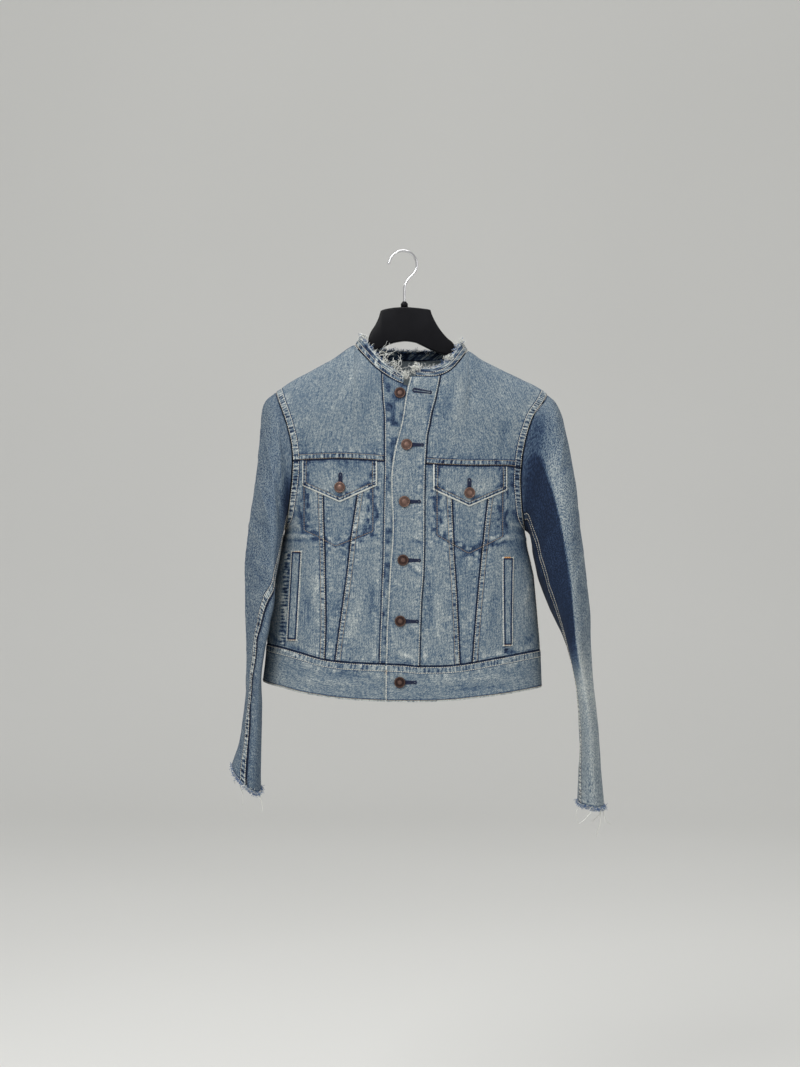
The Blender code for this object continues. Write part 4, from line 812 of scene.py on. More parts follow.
def colour(label, text, value):
    return bpy.props.FloatVectorProperty(name=label, description=text, default=value,
                                         subtype="COLOR", size=3, min=0.0, max=1.0)


def share(label, text, value):
    return bpy.props.FloatProperty(name=label, description=text, default=value, subtype="FACTOR",
                                   min=0.0, max=1.0)


def power(label, text, watts):
    return bpy.props.FloatProperty(name=label, description=text, default=watts, unit="POWER", min=0.0)


def number(label, text, value):
    return bpy.props.IntProperty(name=label, description=text, default=value, min=1)


class ClothSettings(bpy.types.PropertyGroup):
    """Denim and how finely it is modelled."""
    front_step: length("Front step", "Distance between grid points on the fronts", 2.2)
    back_step: length("Back step", "Distance between grid points on the back", 3.0)
    sleeve_step: length("Sleeve step", "Distance between grid points on the sleeves", 2.6)
    small_step: length("Small step", "Distance between grid points on flaps and welts", 1.4)
    twill_pitch: length("Twill pitch", "Distance between two twill lines across the cloth", 1.1)
    deepest: colour("Deepest indigo", "Cloth that was never worn or washed out", (0.010, 0.017, 0.036))
    deep: colour("Deep indigo", "Cloth in seams and folds", (0.024, 0.044, 0.094))
    mid: colour("Mid blue", "Half washed cloth", (0.094, 0.142, 0.194))
    washed: colour("Washed blue", "Well washed cloth", (0.262, 0.298, 0.308))
    pale: colour("Palest", "Worn edges, where the white core shows", (0.600, 0.630, 0.605))


class SewingSettings(bpy.types.PropertyGroup):
    """Rows of sewing, buttonholes and bar tacks."""
    pitch: length("Pitch", "Length of one stitch with its gap", 3.3)
    thickness: length("Thickness", "Thickness of the thread", 1.0)
    fill: share("Fill", "Share of its pitch that a stitch fills", 0.86)


class FraySettings(bpy.types.PropertyGroup):
    """Raw edges of the neck band and the cuffs."""
    neck_ends: number("Neck ends", "Loose yarn ends along the neck band", 1400)
    cuff_ends: number("Cuff ends", "Loose yarn ends round each cuff", 1500)
    thickness: length("Thickness", "Thickness of one yarn end", 1.00)


class ButtonSettings(bpy.types.PropertyGroup):
    """Metal buttons."""
    sides: number("Sides", "Sides of a turned button", 40)
    metal: colour("Metal", "Rubbed metal of the buttons", (0.200, 0.125, 0.100))
    patina: colour("Patina", "Metal in the buttons' grooves", (0.030, 0.018, 0.017))


class HangerSettings(bpy.types.PropertyGroup):
    """Moulded hanger with its wire hook."""
    plastic: colour("Plastic", "Colour of the moulded body", (0.0045, 0.0045, 0.0060))
    steel: colour("Steel", "Colour of the plated wire", (0.74, 0.74, 0.75))


class StageSettings(bpy.types.PropertyGroup):
    """Floor, backdrop, lights and camera."""
    camera_distance: length("Camera distance", "Camera to the hanger's plane", 3600.0)
    view_width: length("View width", "Width of the view in the hanger's plane", 1176.0)
    floor_level: length("Floor level", "Height of the floor", -1420.0)
    backdrop: colour("Backdrop", "Colour of floor and backdrop", (0.78, 0.78, 0.755))
    key_power: power("Key light", "Power of the key light", 74.0)
    fill_power: power("Fill light", "Power of the fill light", 22.0)
    ambient: share("Ambient", "Strength of the light from all round", 0.46)


def settings(group):
    return getattr(bpy.context.scene, "jacket_" + group)


def millimetres(metres):
    return metres / METRES


# Finishes: shader maths written as expressions

def add_node(tree, kind, options=None, sockets=None):
    """One node: its settings first, then the values or links of its sockets."""
    node = tree.nodes.new(kind)
    for key, value in (options or {}).items():
        if key == "stops":
            ramp = node.color_ramp
            while len(ramp.elements) < len(value):
                ramp.elements.new(0.5)
            for stop, (place, tint) in zip(ramp.elements, value):
                stop.position = place
                stop.color = (*tint, 1.0)
        else:
            setattr(node, key, value)
    for key, value in (sockets or {}).items():
        if isinstance(value, bpy.types.NodeSocket):
            tree.links.new(value, node.inputs[key])
        else:
            node.inputs[key].default_value = value
    return node


class Value:
    """A shader socket. Python's operators add Math nodes to its finish."""

    def __init__(self, finish, socket):
        self.finish = finish
        self.socket = socket

    def math(self, operation, *others):
        return self.finish.add("ShaderNodeMath", {"operation": operation}, dict(enumerate((self, *others))))

    def __add__(self, other):
        return self.math("ADD", other)

    def __sub__(self, other):
        return self.math("SUBTRACT", other)

    def __rsub__(self, other):
        return self.finish.add("ShaderNodeMath", {"operation": "SUBTRACT"}, {0: other, 1: self})

    def __mul__(self, other):
        return self.math("MULTIPLY", other)

    __radd__ = __add__
    __rmul__ = __mul__

    def larger(self, other):
        return self.math("MAXIMUM", other)

    def smaller(self, other):
        return self.math("MINIMUM", other)

    def clamped(self):
        return self.larger(0.0).smaller(1.0)

    def sine(self):
        return self.math("SINE")

    def distance_from(self, other):
        return (self - other).math("ABSOLUTE")

    def rise(self, low, high):
        """0 below low, 1 above high and smooth between."""
        return self.finish.add("ShaderNodeMapRange", {"interpolation_type": "SMOOTHSTEP"},
                               {"Value": self, "From Min": low, "From Max": high})


class Finish:
    """A material under construction, with one Principled shader."""

    def __init__(self, name, **constants):
        self.material = bpy.data.materials.new(name)
        self.material.use_nodes = True
        self.tree = self.material.node_tree
        self.shader = self.tree.nodes["Principled BSDF"]
        for socket, value in constants.items():
            self.shader.inputs[socket.replace("_", " ")].default_value = value

    def add(self, kind, options=None, sockets=None, output=0):
        plain = {key: value.socket if isinstance(value, Value) else value
                 for key, value in (sockets or {}).items()}
        return Value(self, add_node(self.tree, kind, options, plain).outputs[output])

    def attribute(self, name, output="Fac"):
        return self.add("ShaderNodeAttribute", {"attribute_name": name}, output=output)

    def place(self):
        return self.add("ShaderNodeTexCoord", output="Object")

    def scaled(self, vector, factors):
        return self.add("ShaderNodeVectorMath", {"operation": "MULTIPLY"}, {0: vector, 1: factors})

    def parts(self, vector):
        node = self.add("ShaderNodeSeparateXYZ", {}, {0: vector}).socket.node
        return [Value(self, output) for output in node.outputs]

    def joined(self, x, y, z):
        return self.add("ShaderNodeCombineXYZ", {}, {0: x, 1: y, 2: z})

    def noise(self, vector, scale=1.0, detail=2.0, roughness=0.5):
        """Noise from about -1 to 1."""
        return self.add("ShaderNodeTexNoise", {}, {"Vector": vector, "Scale": scale, "Detail": detail,
                                                   "Roughness": roughness}) * 4.0 - 2.0

    def ramp(self, factor, stops):
        return self.add("ShaderNodeValToRGB", {"stops": stops}, {"Fac": factor})

    def mixed(self, factor, first, second):
        given = {0: factor}
        for place, tint in ((6, first), (7, second)):
            given[place] = tint if isinstance(tint, Value) else (*tint, 1.0)
        return self.add("ShaderNodeMix", {"data_type": "RGBA"}, given, output=2)

    def feed(self, socket, value):
        self.tree.links.new(value.socket, self.shader.inputs[socket])

    def relief(self, height):
        """Bump from a height in millimetres."""
        self.feed("Normal", self.add("ShaderNodeBump", {}, {"Height": height, "Strength": 1.0,
                                                            "Distance": METRES}, output="Normal"))


def edge_marks(finish, distance, phase, style, piece):
    """What an edge does to the wash (0 dark, 1 pale) and to the height, in millimetres."""
    band, line, worn, ladder, halo, _, _ = EDGES[style]
    wash, height = 0.0, 0.0
    rung = (phase * (2 * math.pi / LADDER_PITCH)).sine()
    blots = finish.noise(finish.joined(phase * 0.23, distance * 0.10, piece), detail=3.0)
    streaks = finish.noise(finish.joined(phase * 0.20, distance * 0.045, piece), detail=3.0)
    mixed = rung * 0.50 + blots * 1.1
    strength = (streaks * 0.5 + 0.85).larger(0.2)
    # Dark line at the seam: partly unfaded indigo, partly painted shadow in the crease where one piece steps
    # down to the next.
    if line:
        crease = 1.0 - distance.rise(0.1 + 0.7 * line, 1.2 + 0.8 * line)
        wash = wash - crease * strength * (0.36 * line)
    if worn:
        wash = wash + (1.0 - distance.rise(1.2, 2.6)) * strength * (0.62 * worn)
        wash = wash - distance.distance_from(3.5).rise(1.4, 0.2) * strength * (0.46 * worn)
    if ladder:
        strip = distance.rise(0.8, 1.7) * (1.0 - distance.rise(band - 0.9, band + 0.2))
        dark = (mixed - 0.05).clamped() * 0.46
        light = (0.0 - mixed).clamped() * 0.20
        wash = wash + strip * (light - dark + 0.04) * ladder
        past = distance.distance_from(band + 0.9).rise(1.2, 0.2)
        wash = wash - past * strength * (0.26 * ladder)
        height = height + strip * (rung * -0.16 + 0.15)
    if halo:
        far = distance.rise(band + 0.6, band + 2.4) * (1.0 - distance.rise(band + 2.0, band + 13.0))
        wash = wash + far * (streaks * 0.24 + rung * -0.04 + 0.03) * halo
    return wash, height


def denim(name, edges=(None, None, None, None), wear=0.60, cast=None, coarse=0.36):
    """Washed twill. edges name the finish of the u0, u1, v0 and v1 edges; wear is the mean wash."""
    cloth = settings("cloth")
    finish = Finish(name, Roughness=0.92, Specular_IOR_Level=0.12, Sheen_Weight=0.02)
    weave = finish.attribute("weave", "Vector")
    u, v, piece = finish.parts(weave)
    tone = finish.attribute("tone")
    lean, climb = u + v * 0.55, v - u * 0.55
    slub = finish.noise(finish.scaled(weave, (0.62, 0.050, 1.0)), detail=3.0)
    grain = finish.noise(finish.joined(lean * 0.70, climb * 0.26, piece), detail=3.0, roughness=0.7)
    mottle = finish.noise(finish.scaled(weave, (0.19, 0.12, 1.0)), detail=4.0, roughness=0.65)
    clouds = finish.noise(finish.scaled(weave, (0.030, 0.020, 1.0)), detail=2.0)
    twill = (lean * (2 * math.pi / millimetres(cloth.twill_pitch))).sine()
    wash = (slub * 0.12 + grain * coarse + mottle * 0.11).smaller(0.19) + clouds * 0.05
    wash = wash + tone * 0.32 + twill * 0.03 + wear
    height = twill * 0.05 + slub * 0.05 + grain * 0.09 + mottle * 0.05
    if any(edges):
        from_u = finish.parts(finish.attribute("from_u", "Vector"))
        from_v = finish.parts(finish.attribute("from_v", "Vector"))
        places = ((from_u[0], from_u[2], 0.0), (from_u[1], from_u[2], 5.5),
                  (from_v[0], from_v[2], 11.5), (from_v[1], from_v[2], 17.5))
        for style, (distance, phase, apart) in zip(edges, places):
            if style:
                more_wash, more_height = edge_marks(finish, distance, phase, style, piece + apart)
                wash = wash + more_wash
                height = height + more_height
    tint = finish.ramp(wash, ((0.0, cloth.deepest), (0.25, cloth.deep), (0.5, cloth.mid),
                              (0.74, cloth.washed), (1.0, cloth.pale)))
    if cast:
        tint = finish.mixed(cast[0], tint, cast[1])
    finish.feed("Base Color", tint)
    finish.relief(height)
    return finish.material


def fray_finish():
    """Loose yarn: white weft and pale to mid blue warp, by each end's own tint."""
    cloth = settings("cloth")
    finish = Finish("yarn_ends", Roughness=0.92, Specular_IOR_Level=0.15)
    speckle = finish.noise(finish.place(), 900.0, detail=2.0)
    tint = finish.attribute("tint") + speckle * 0.05
    finish.feed("Base Color", finish.ramp(tint, (
        (0.0, (0.035, 0.070, 0.180)), (0.35, (0.11, 0.20, 0.38)), (0.6, cloth.pale),
        (1.0, (0.82, 0.82, 0.77)))))
    finish.relief(speckle * 0.04)
    return finish.material


def thread_finish(name, tint):
    finish = Finish("thread_" + name, Roughness=0.8, Specular_IOR_Level=0.25)
    age = finish.noise(finish.place(), 160.0, detail=3.0)
    twist = finish.noise(finish.place(), 2600.0, detail=1.0)
    dark = tuple(0.55 * part for part in tint)
    finish.feed("Base Color", finish.mixed((age * 0.35 + twist * 0.15 + 0.3).clamped(), tint, dark))
    finish.relief(twist * 0.05)
    return finish.material


def button_finish(name, patina):
    """Rubbed on the rings and dark in the grooves, which the raised attribute tells apart."""
    metal = settings("buttons")
    finish = Finish("metal_" + name, Metallic=0.9)
    rubbed = finish.attribute("raised")
    stain = finish.noise(finish.place(), 700.0, detail=4.0)
    dark = ((1.0 - rubbed) * 0.9 + patina - 0.35 + stain * 0.16).clamped()
    finish.feed("Base Color", finish.mixed(dark, metal.metal, metal.patina))
    finish.feed("Roughness", dark * 0.25 + stain * 0.05 + 0.42)
    finish.relief(stain * 0.03)
    return finish.material


def plastic_finish():
    finish = Finish("hanger_plastic", Specular_IOR_Level=0.12)
    grain = finish.noise(finish.place(), 1500.0, detail=3.0)
    smears = finish.noise(finish.place(), 28.0, detail=3.0)
    plastic = settings("hanger").plastic
    finish.feed("Base Color", finish.mixed((smears * 0.25 + 0.3).larger(0.0), plastic, RUBBED_PLASTIC))
    finish.feed("Roughness", smears * 0.05 + grain * 0.03 + 0.34)
    finish.relief(grain * 0.02)
    return finish.material


def steel_finish():
    finish = Finish("hook_steel", Metallic=1.0)
    scratches = finish.noise(finish.scaled(finish.place(), (1.0, 1.0, 0.12)), 2200.0, detail=2.0)
    dull = finish.noise(finish.place(), 90.0, detail=3.0)
    steel = settings("hanger").steel
    finish.feed("Base Color", finish.mixed((dull * 0.3 + 0.3).larger(0.0), steel, DULL_STEEL))
    finish.feed("Roughness", dull * 0.06 + scratches * 0.03 + 0.16)
    finish.relief(scratches * 0.008)
    return finish.material


# Cloth as grids

def uneven(seed, u, v, size):
    """Smooth unevenness from -1 to 1 over (u, v), with lumps about size across."""
    lattice = np.random.default_rng(seed).uniform(-1, 1, (64, 64))
    a, b = np.asarray(u, float) / size, np.asarray(v, float) / size
    i, j = np.floor(a).astype(int), np.floor(b).astype(int)
    s, t = a - i, b - j
    s, t = s * s * (3 - 2 * s), t * t * (3 - 2 * t)

    def at(across, down):
        return lattice[(i + across) % 64, (j + down) % 64]

    return (1 - s) * ((1 - t) * at(0, 0) + t * at(0, 1)) + s * ((1 - t) * at(1, 0) + t * at(1, 1))


def blotches(seed, x, z, size):
    """The same over the torso's x and z."""
    return uneven(seed, x + 400, z + 900, size)


def smooth_step(low, high, value):
    t = np.clip((value - low) / (high - low), 0, 1)
    return t * t * (3 - 2 * t)


def crease_marks(rows, u, v):
    """Height and tone that a table of creases gives over (u, v)."""
    rise_, tone = np.zeros(u.shape), np.zeros(u.shape)
    for number_, (u1, v1, u2, v2, width, rise, shade) in enumerate(rows):
        near = (np.abs(u - (u1 + u2) / 2) < abs(u2 - u1) / 2 + 4 * width)
        near &= (np.abs(v - (v1 + v2) / 2) < abs(v2 - v1) / 2 + 4 * width)
        if not near.any():
            continue
        a, b = u[near], v[near]
        a = a + uneven(300 + number_, a, b, 14.0) * width * 0.5
        share_, away = from_line(a, b, u1, v1, u2, v2)
        body = np.exp(-(away / width) ** 2) * (1 - (2 * share_ - 1) ** 4 * 0.7)
        rise_[near] += rise * body
        # tone: paler ridges from wear, darker troughs partly unfaded indigo and partly painted shade.
        tone[near] += shade * body * (0.75 + 0.45 * uneven(400 + number_, a, b, 5.0))
    return rise_, tone


def torso_creases(side, x, z):
    """Height of creases and soft bends over one side of the torso, and the creases' tone."""
    crease, tone = crease_marks(CREASES[side], x, z)
    return crease + uneven(5 if side == "front" else 6, x + 300, z + 900, 30.0) * 0.5, tone


class Cloth:
    """A piece of cloth: rows run down it (v) and columns across (u), in millimetres."""

    def __init__(self, points, out, seed):
        self.base, self.out, self.seed = points, out, seed
        across = np.linalg.norm(np.diff(points, axis=1), axis=-1)
        down = np.linalg.norm(np.diff(points, axis=0), axis=-1)
        self.u = np.pad(np.cumsum(across, 1), ((0, 0), (1, 0)))
        self.v = np.pad(np.cumsum(down, 0), ((1, 0), (0, 0)))
        self.to_last_u = self.u[:, -1:] - self.u
        self.to_last_v = self.v[-1:] - self.v
        far, quick = LADDER_JITTER
        self.phase_u = self.u + far * uneven(seed, self.u, 0 * self.u, quick)
        level = self.v.mean(1, keepdims=True) + 0 * self.v
        self.phase_v = level + far * uneven(seed + 1, level, 0 * level, quick)
        self.tone = np.zeros(self.u.shape)
        self.weave = np.stack([self.u, self.v], -1)
        self.lift = np.zeros(self.u.shape)

    def distances(self):
        return self.u, self.to_last_u, self.v, self.to_last_v

    def sew_edges(self, edges):
        """Groove, raised band and puckers along each named edge."""
        phases = (self.phase_v, self.phase_v, self.phase_u, self.phase_u)
        for style, distance, phase in zip(edges, self.distances(), phases):
            if style:
                band, _, _, _, _, groove, pucker = EDGES[style]
                rung = np.sin(2 * math.pi * phase / LADDER_PITCH)
                inside = np.clip((band - distance) / 1.5, 0, 1) * np.clip(distance / 1.5, 0, 1)
                spread = np.exp(-(np.clip(distance - band, 0, None) / 5.0) ** 2)
                self.lift += pucker * (0.5 * rung * spread + 0.5 * inside)
                self.lift -= groove * np.exp(-(distance / 1.5) ** 2)

    def crumple(self, strength):
        for number_, (size, rise) in enumerate(LUMPS):
            self.lift += strength * rise * uneven(self.seed + 10 + number_, self.u, self.v, size)

    def measure(self):
        """Flat size and area in metres, with seam allowances that are less on narrow pieces."""
        corner = self.base[:-1, :-1]
        across, down = self.base[:-1, 1:] - corner, self.base[1:, :-1] - corner
        area = float(np.linalg.norm(np.cross(across, down), axis=-1).sum())
        around = float(self.u[0, -1] + self.u[-1, -1] + self.v[-1, 0] + self.v[-1, -1])
        allow = min(SEAM_ALLOWANCE, NARROW_ALLOWANCE * area / around)
        wide, long_ = float(self.u[:, -1].max()) + 2 * allow, float(self.v[-1].max()) + 2 * allow
        area = min(area + allow * around, wide * long_)
        return (wide * METRES, long_ * METRES), max(area, 0.31 * wide * long_) * METRES ** 2


def wall_faces(rows, cols):
    """Quads of a closed wall: the outer layer, the inner layer, then the rim."""
    index = np.arange(rows * cols).reshape(rows, cols)
    corners = (index[:-1, :-1], index[:-1, 1:], index[1:, 1:], index[1:, :-1])
    outer = np.stack(corners, -1).reshape(-1, 4)
    inner = outer[:, ::-1] + rows * cols
    edge = np.concatenate([index[0], index[1:, -1], index[-1, -2::-1], index[-2:0:-1, 0]])
    after = np.roll(edge, -1)
    rim = np.stack([after, edge, edge + rows * cols, after + rows * cols], -1)
    return outer, inner, rim


def outward(points, faces):
    """Faces turned so that a closed shape's volume is positive."""
    p = points - points.mean(0)
    corner, second, third, fourth = (p[faces[:, k]] for k in range(4))
    volume = (corner * (np.cross(second, third) + np.cross(third, fourth))).sum()
    return faces if volume > 0 else faces[:, ::-1]


def ring_quads(rings, sides):
    """Quads between rings of points."""
    base = np.arange(rings - 1)[:, None] * sides
    ring = np.arange(sides)
    after = (ring + 1) % sides
    return np.stack([base + ring, base + after, base + sides + after, base + sides + ring], -1).reshape(-1, 4)


def closed_tube(points, rings, sides, caps):
    """Quads between rings, with the caps that close them, all turned outwards."""
    quads = outward(points, ring_quads(rings, sides))
    as_made = quads[0, 0] == 0
    return quads.tolist() + [cap if as_made else cap[::-1] for cap in caps]


def linked(name, data):
    item = bpy.data.objects.new(name, data)
    bpy.context.scene.collection.objects.link(item)
    return item


def mesh_object(name, points, faces, materials, attributes=()):
    """A smooth piece whose object is at the origin, from points in millimetres."""
    mesh = bpy.data.meshes.new(name)
    mesh.from_pydata((np.asarray(points) * METRES).tolist(), [], faces)
    for material in materials:
        mesh.materials.append(material)
    for label, kind, values in attributes:
        field = "vector" if kind == "FLOAT_VECTOR" else "value"
        layer = mesh.attributes.new(label, kind, "POINT")
        layer.data.foreach_set(field, np.asarray(values, np.float32).ravel())
    mesh.shade_smooth()
    return linked(name, mesh)


def make_wall(name, cloth, kept, high, low, finish, inside):
    """The closed wall of one piece, between two distances from its base surface."""
    cloth.outer = kept + cloth.out * (high + cloth.lift)[..., None]
    inner = cloth.outer - cloth.out * (high - low)
    points = np.concatenate([cloth.outer.reshape(-1, 3), inner.reshape(-1, 3)])
    outer_faces, inner_faces, rim = wall_faces(*cloth.u.shape)
    faces = outward(points, np.concatenate([outer_faces, inner_faces, rim]))
    far = np.full(cloth.u.shape, 37.0 * cloth.seed)
    fields = (
        ("weave", "FLOAT_VECTOR", np.concatenate([cloth.weave, far[..., None]], -1)),
        ("from_u", "FLOAT_VECTOR", np.stack([cloth.u, cloth.to_last_u, cloth.phase_v], -1)),
        ("from_v", "FLOAT_VECTOR", np.stack([cloth.v, cloth.to_last_v, cloth.phase_u], -1)),
        ("tone", "FLOAT", cloth.tone),
    )
    doubled = [(label, kind, np.concatenate([values.ravel()] * 2)) for label, kind, values in fields]
    piece = mesh_object("cloth_" + name, points, faces.tolist(), [finish, inside], doubled)
    layers = np.repeat([0, 1, 0], [len(outer_faces), len(inner_faces), len(rim)])
    piece.data.polygons.foreach_set("material_index", layers.astype(np.int32))
    piece.data.update()
    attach(piece, BODY)
    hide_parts(name, *(name + end for end in ("_2", "_3") if name + end in bpy.data.objects))
    flat, area = cloth.measure()
    MADE[name] = cloth


def finish_of(edges, wear, coarse=0.36):
    """One denim for each set of edge finishes and wear."""
    name = "denim_%s_%02d" % ("_".join(edge or "free" for edge in edges), round(wear * 100))
    return bpy.data.materials.get(name) or denim(name, edges, wear, coarse=coarse)


def seed_of(name):
    return sum(map(ord, name)) % 97


def lining():
    """The cloth's inner face, where the undyed weft shows."""
    return bpy.data.materials.get("denim_inside") or denim("denim_inside", wear=0.52, cast=(0.45, WEFT))


def grid_size(side, seams, step):
    coarse, _ = patch(side, *seams, even(9), even(9))
    across = np.linalg.norm(np.diff(coarse, axis=1), axis=-1).sum(1).max()
    down = np.linalg.norm(np.diff(coarse, axis=0), axis=-1).sum(0).max()
    return max(int(across / step), 3) + 1, max(int(down / step), 3) + 1


def welt_tone(x, z):
    """Worn and unworn blots beside each welt, over the pocket behind it."""
    tone = np.zeros(x.shape)
    for side, sign in (("right", -1), ("left", 1)):
        top_out, _, low_out, _, top, bottom = WELTS[side]
        edge = top_out + (low_out - top_out) * np.clip((z - top) / (bottom - top), 0, 1)
        away = (x - edge) * sign
        strip = smooth_step(0.5, 3, away) * smooth_step(13, 8, away)
        strip *= smooth_step(top + 4, top - 8, z) * smooth_step(bottom - 14, bottom - 4, z)
        rungs = np.sin(2 * math.pi * z / WELT_RUNGS + 2.0 * blotches(96, x, z, 9.0))
        tone -= strip * (0.15 + 1.8 * np.clip(0.7 * rungs + 1.3 * blotches(97, x, z, 4.5), -0.5, 1))
    return tone


def bag_marks(x, z):
    """Height and tone over the sewn outline of each pocket bag."""
    rise, tone = np.zeros(x.shape), np.zeros(x.shape)
    blots = blotches(95, x, z, 4.6)
    for side in SIDES:
        corners = bag_outline(side)
        away = np.min([from_line(x, z, *a, *b)[1] for a, b in zip(corners[:-1], corners[1:])], 0)
        rise -= 0.7 * np.exp(-(away / 1.5) ** 2)
        tone -= 1.3 * np.exp(-(away / 2.2) ** 2) * (0.8 + 0.5 * blots)
        tone += 1.2 * np.clip(blots * 1.8 - 0.2, -1.1, 0.15) * np.exp(-((away - 5.0) / 4.0) ** 2)
    return rise, tone


def bag_outline(side):
    """Corners of a pocket bag's sewn outline, from one end at the flap to the other."""
    _, _, lower = POCKET_BAGS[side]
    lower = sorted(lower)
    top = max(z for _, z in lower) + 66.0
    return [(lower[0][0], top), *lower, (lower[-1][0], top)]


def place_tone(name, x, z):
    """Where the torso's cloth is more or less worn than the rest, and where shade is painted in, by x and z.
    """
    # Painted shade on the left side panel under the arm, where the sleeve hangs close to the body; none on
    # the right.
    side_edge = np.where(x < 0, -(x + 176), x - 178)
    tone = np.where(x < 0, 0.0, -0.8) * smooth_step(-34, 4, side_edge) * smooth_step(-250, -330, z)
    tone *= 1 - 0.95 * smooth_step(-425, -470, z)
    # Darker in a band just under the yoke seam, away from the plackets: partly unfaded indigo, partly painted
    # shade of the seam.
    tone -= 0.35 * np.exp(-((z + 318) / 22) ** 2) * (np.abs(x) > 34)
    if "welt" not in name:
        tone += welt_tone(x, z) + bag_marks(x, z)[1]
    if "flap" in name:
        # Flaps: darker at the top under the yoke seam, partly unfaded indigo and partly painted shade of the
        # seam, and a little paler overall.
        tone += -0.7 * smooth_step(-322, -306, z) * (0.7 + 0.9 * blotches(91, x, z, 6.5)) + 0.12
    if name == "placket_button_side":
        tone += 1.1 * np.minimum(blotches(92, x, z, 7.0), 0.15)
    return tone


def torso_cloth(name, seams, edges, wear, step, high=0.0, low=-DENIM, columns=None, own_lumps=0.0):
    """A piece between four seams of the torso surface. edges are u0, u1, v0 and v1."""
    side = "back" if name.startswith("back") else "front"
    cols, rows = grid_size(side, seams, millimetres(step))
    points, out = patch(side, *seams, even(cols) if columns is None else columns, even(rows))
    cloth = Cloth(points, out, seed_of(name))
    x, z = points[..., 0], points[..., 2]
    lift, tone = torso_creases(side, x, z)
    cloth.tone = np.clip(tone, -1.6, 0.5)
    if side == "front":
        cloth.tone += place_tone(name, x, z)
    if "welt" in name:
        near = np.minimum.reduce(cloth.distances())
        cloth.tone -= 1.9 * np.exp(-((near - 3.2) / 1.1) ** 2)
    if "flap" in name:
        near = np.minimum(np.minimum(cloth.u, cloth.to_last_u), cloth.to_last_v)
        inner = smooth_step(5.5, 7.5, near) * smooth_step(17, 8, near) * 1.1
        cloth.tone -= inner * np.clip(0.45 + 0.9 * blotches(94, x, z, 5.5), 0, 1.2)
    middle = int(np.argmin(np.abs(x).mean(0)))
    across = np.sign(x[0, -1] - x[0, 0]) * (cloth.u - cloth.u[:, middle:middle + 1])
    cloth.weave = np.stack([x[:, middle:middle + 1] + across, -z], -1)
    cloth.lift += lift + (bag_marks(x, z)[0] if name.startswith(("front_", "placket")) else 0)
    cloth.crumple(own_lumps)
    cloth.sew_edges(edges)
    make_wall(name, cloth, keep_back(points), high, low, finish_of(edges, wear), lining())


def dress_fronts():
    step = settings("cloth").front_step
    shoulder, yoke, waist = along(SHOULDER), along(YOKE_SEAM), along(WAIST_SEAM)
    for side, number_, sign, neck_x, neck, inner in (
            ("right", 1, -1, RIGHT_NECK, NECK_RIGHT, BUTTON_SEAM),
            ("left", 2, 1, LEFT_NECK, NECK_LEFT, PLACKET_SEAM)):
        inner, outer = along(inner), outer_line(number_, sign)

        def yoke_top(x, neck=neck, neck_x=neck_x, sign=sign):
            return np.where(x * sign > neck_x * sign, shoulder(x), curve(neck, x))

        corner = share_across(outer, inner, neck_x)
        seams = (outer, inner, yoke_top, yoke)
        cols, _ = grid_size("front", seams, millimetres(step))
        first = max(int(cols * corner), 4)
        columns = np.concatenate([corner * even(first), corner + (1 - corner) * even(cols - first)[1:]])
        torso_cloth("front_yoke_" + side, seams, ("armhole", "under", "plain", "yoke"), 0.585, step,
                    columns=columns, own_lumps=0.6)
        outer_seam, inner_seam = map(along, WEDGE_SEAMS[side][::-sign])
        torso_cloth("front_side_" + side, (outer, outer_seam, yoke, waist),
                    ("armhole", "felled", "under", "under"), 0.59, step)
        torso_cloth("front_wedge_" + side, (outer_seam, inner_seam, yoke, waist),
                    ("under", "under", "under", "under"), 0.56, step)
        torso_cloth("front_centre_" + side, (inner_seam, inner, yoke, waist),
                    ("felled", "soft", "under", "under"), 0.60, step)


def dress_plackets():
    step, waist = settings("cloth").front_step, along(WAIST_SEAM)
    torso_cloth("placket_button_side",
                (along(BUTTON_SEAM), along(UNDERLAP_EDGE), along(NECK_RIGHT), waist),
                ("soft", "plain", "plain", "under"), 0.52, step, 0.0, -DOUBLED)
    torso_cloth("placket_buttonhole_side",
                (along(PLACKET_EDGE), along(PLACKET_SEAM), along(NECK_LEFT), waist),
                ("turned", "soft", "plain", "under"), 0.60, step, DOUBLED + 0.2, LAP)


def dress_pockets():
    cloth, yoke = settings("cloth"), along(YOKE_SEAM)
    for side in SIDES:
        x_in, x_out, corner_z, point_x, point_z = FLAPS[side]
        point = ((x_in, corner_z), (point_x, point_z), (x_out, corner_z))
        torso_cloth("pocket_flap_" + side,
                    (constant(x_out), constant(x_in), yoke, lambda x, point=point: straight(point, x)),
                    ("flap", "flap", "under", "flap"), 0.63, cloth.small_step, DOUBLED, LAY)
        x_in, x_out, lower = POCKET_BAGS[side]
        torso_cloth("pocket_bag_" + side,
                    (constant(x_out), constant(x_in), lambda x: yoke(x) - 4,
                     lambda x, lower=lower: straight(lower, x)),
                    (None, None, None, None), 0.45, cloth.back_step, -DENIM - BAG_LAY, -DENIM - BAG_LAY - 1.0)
        top_out, top_in, low_out, low_in, top, bottom = WELTS[side]
        torso_cloth("pocket_welt_" + side,
                    (along(((top, top_out), (bottom, low_out))), along(((top, top_in), (bottom, low_in))),
                     constant(top), constant(bottom)),
                    ("welt", "welt", "welt", "welt"), 0.60, cloth.small_step, 0.6 + DENIM, 0.6)


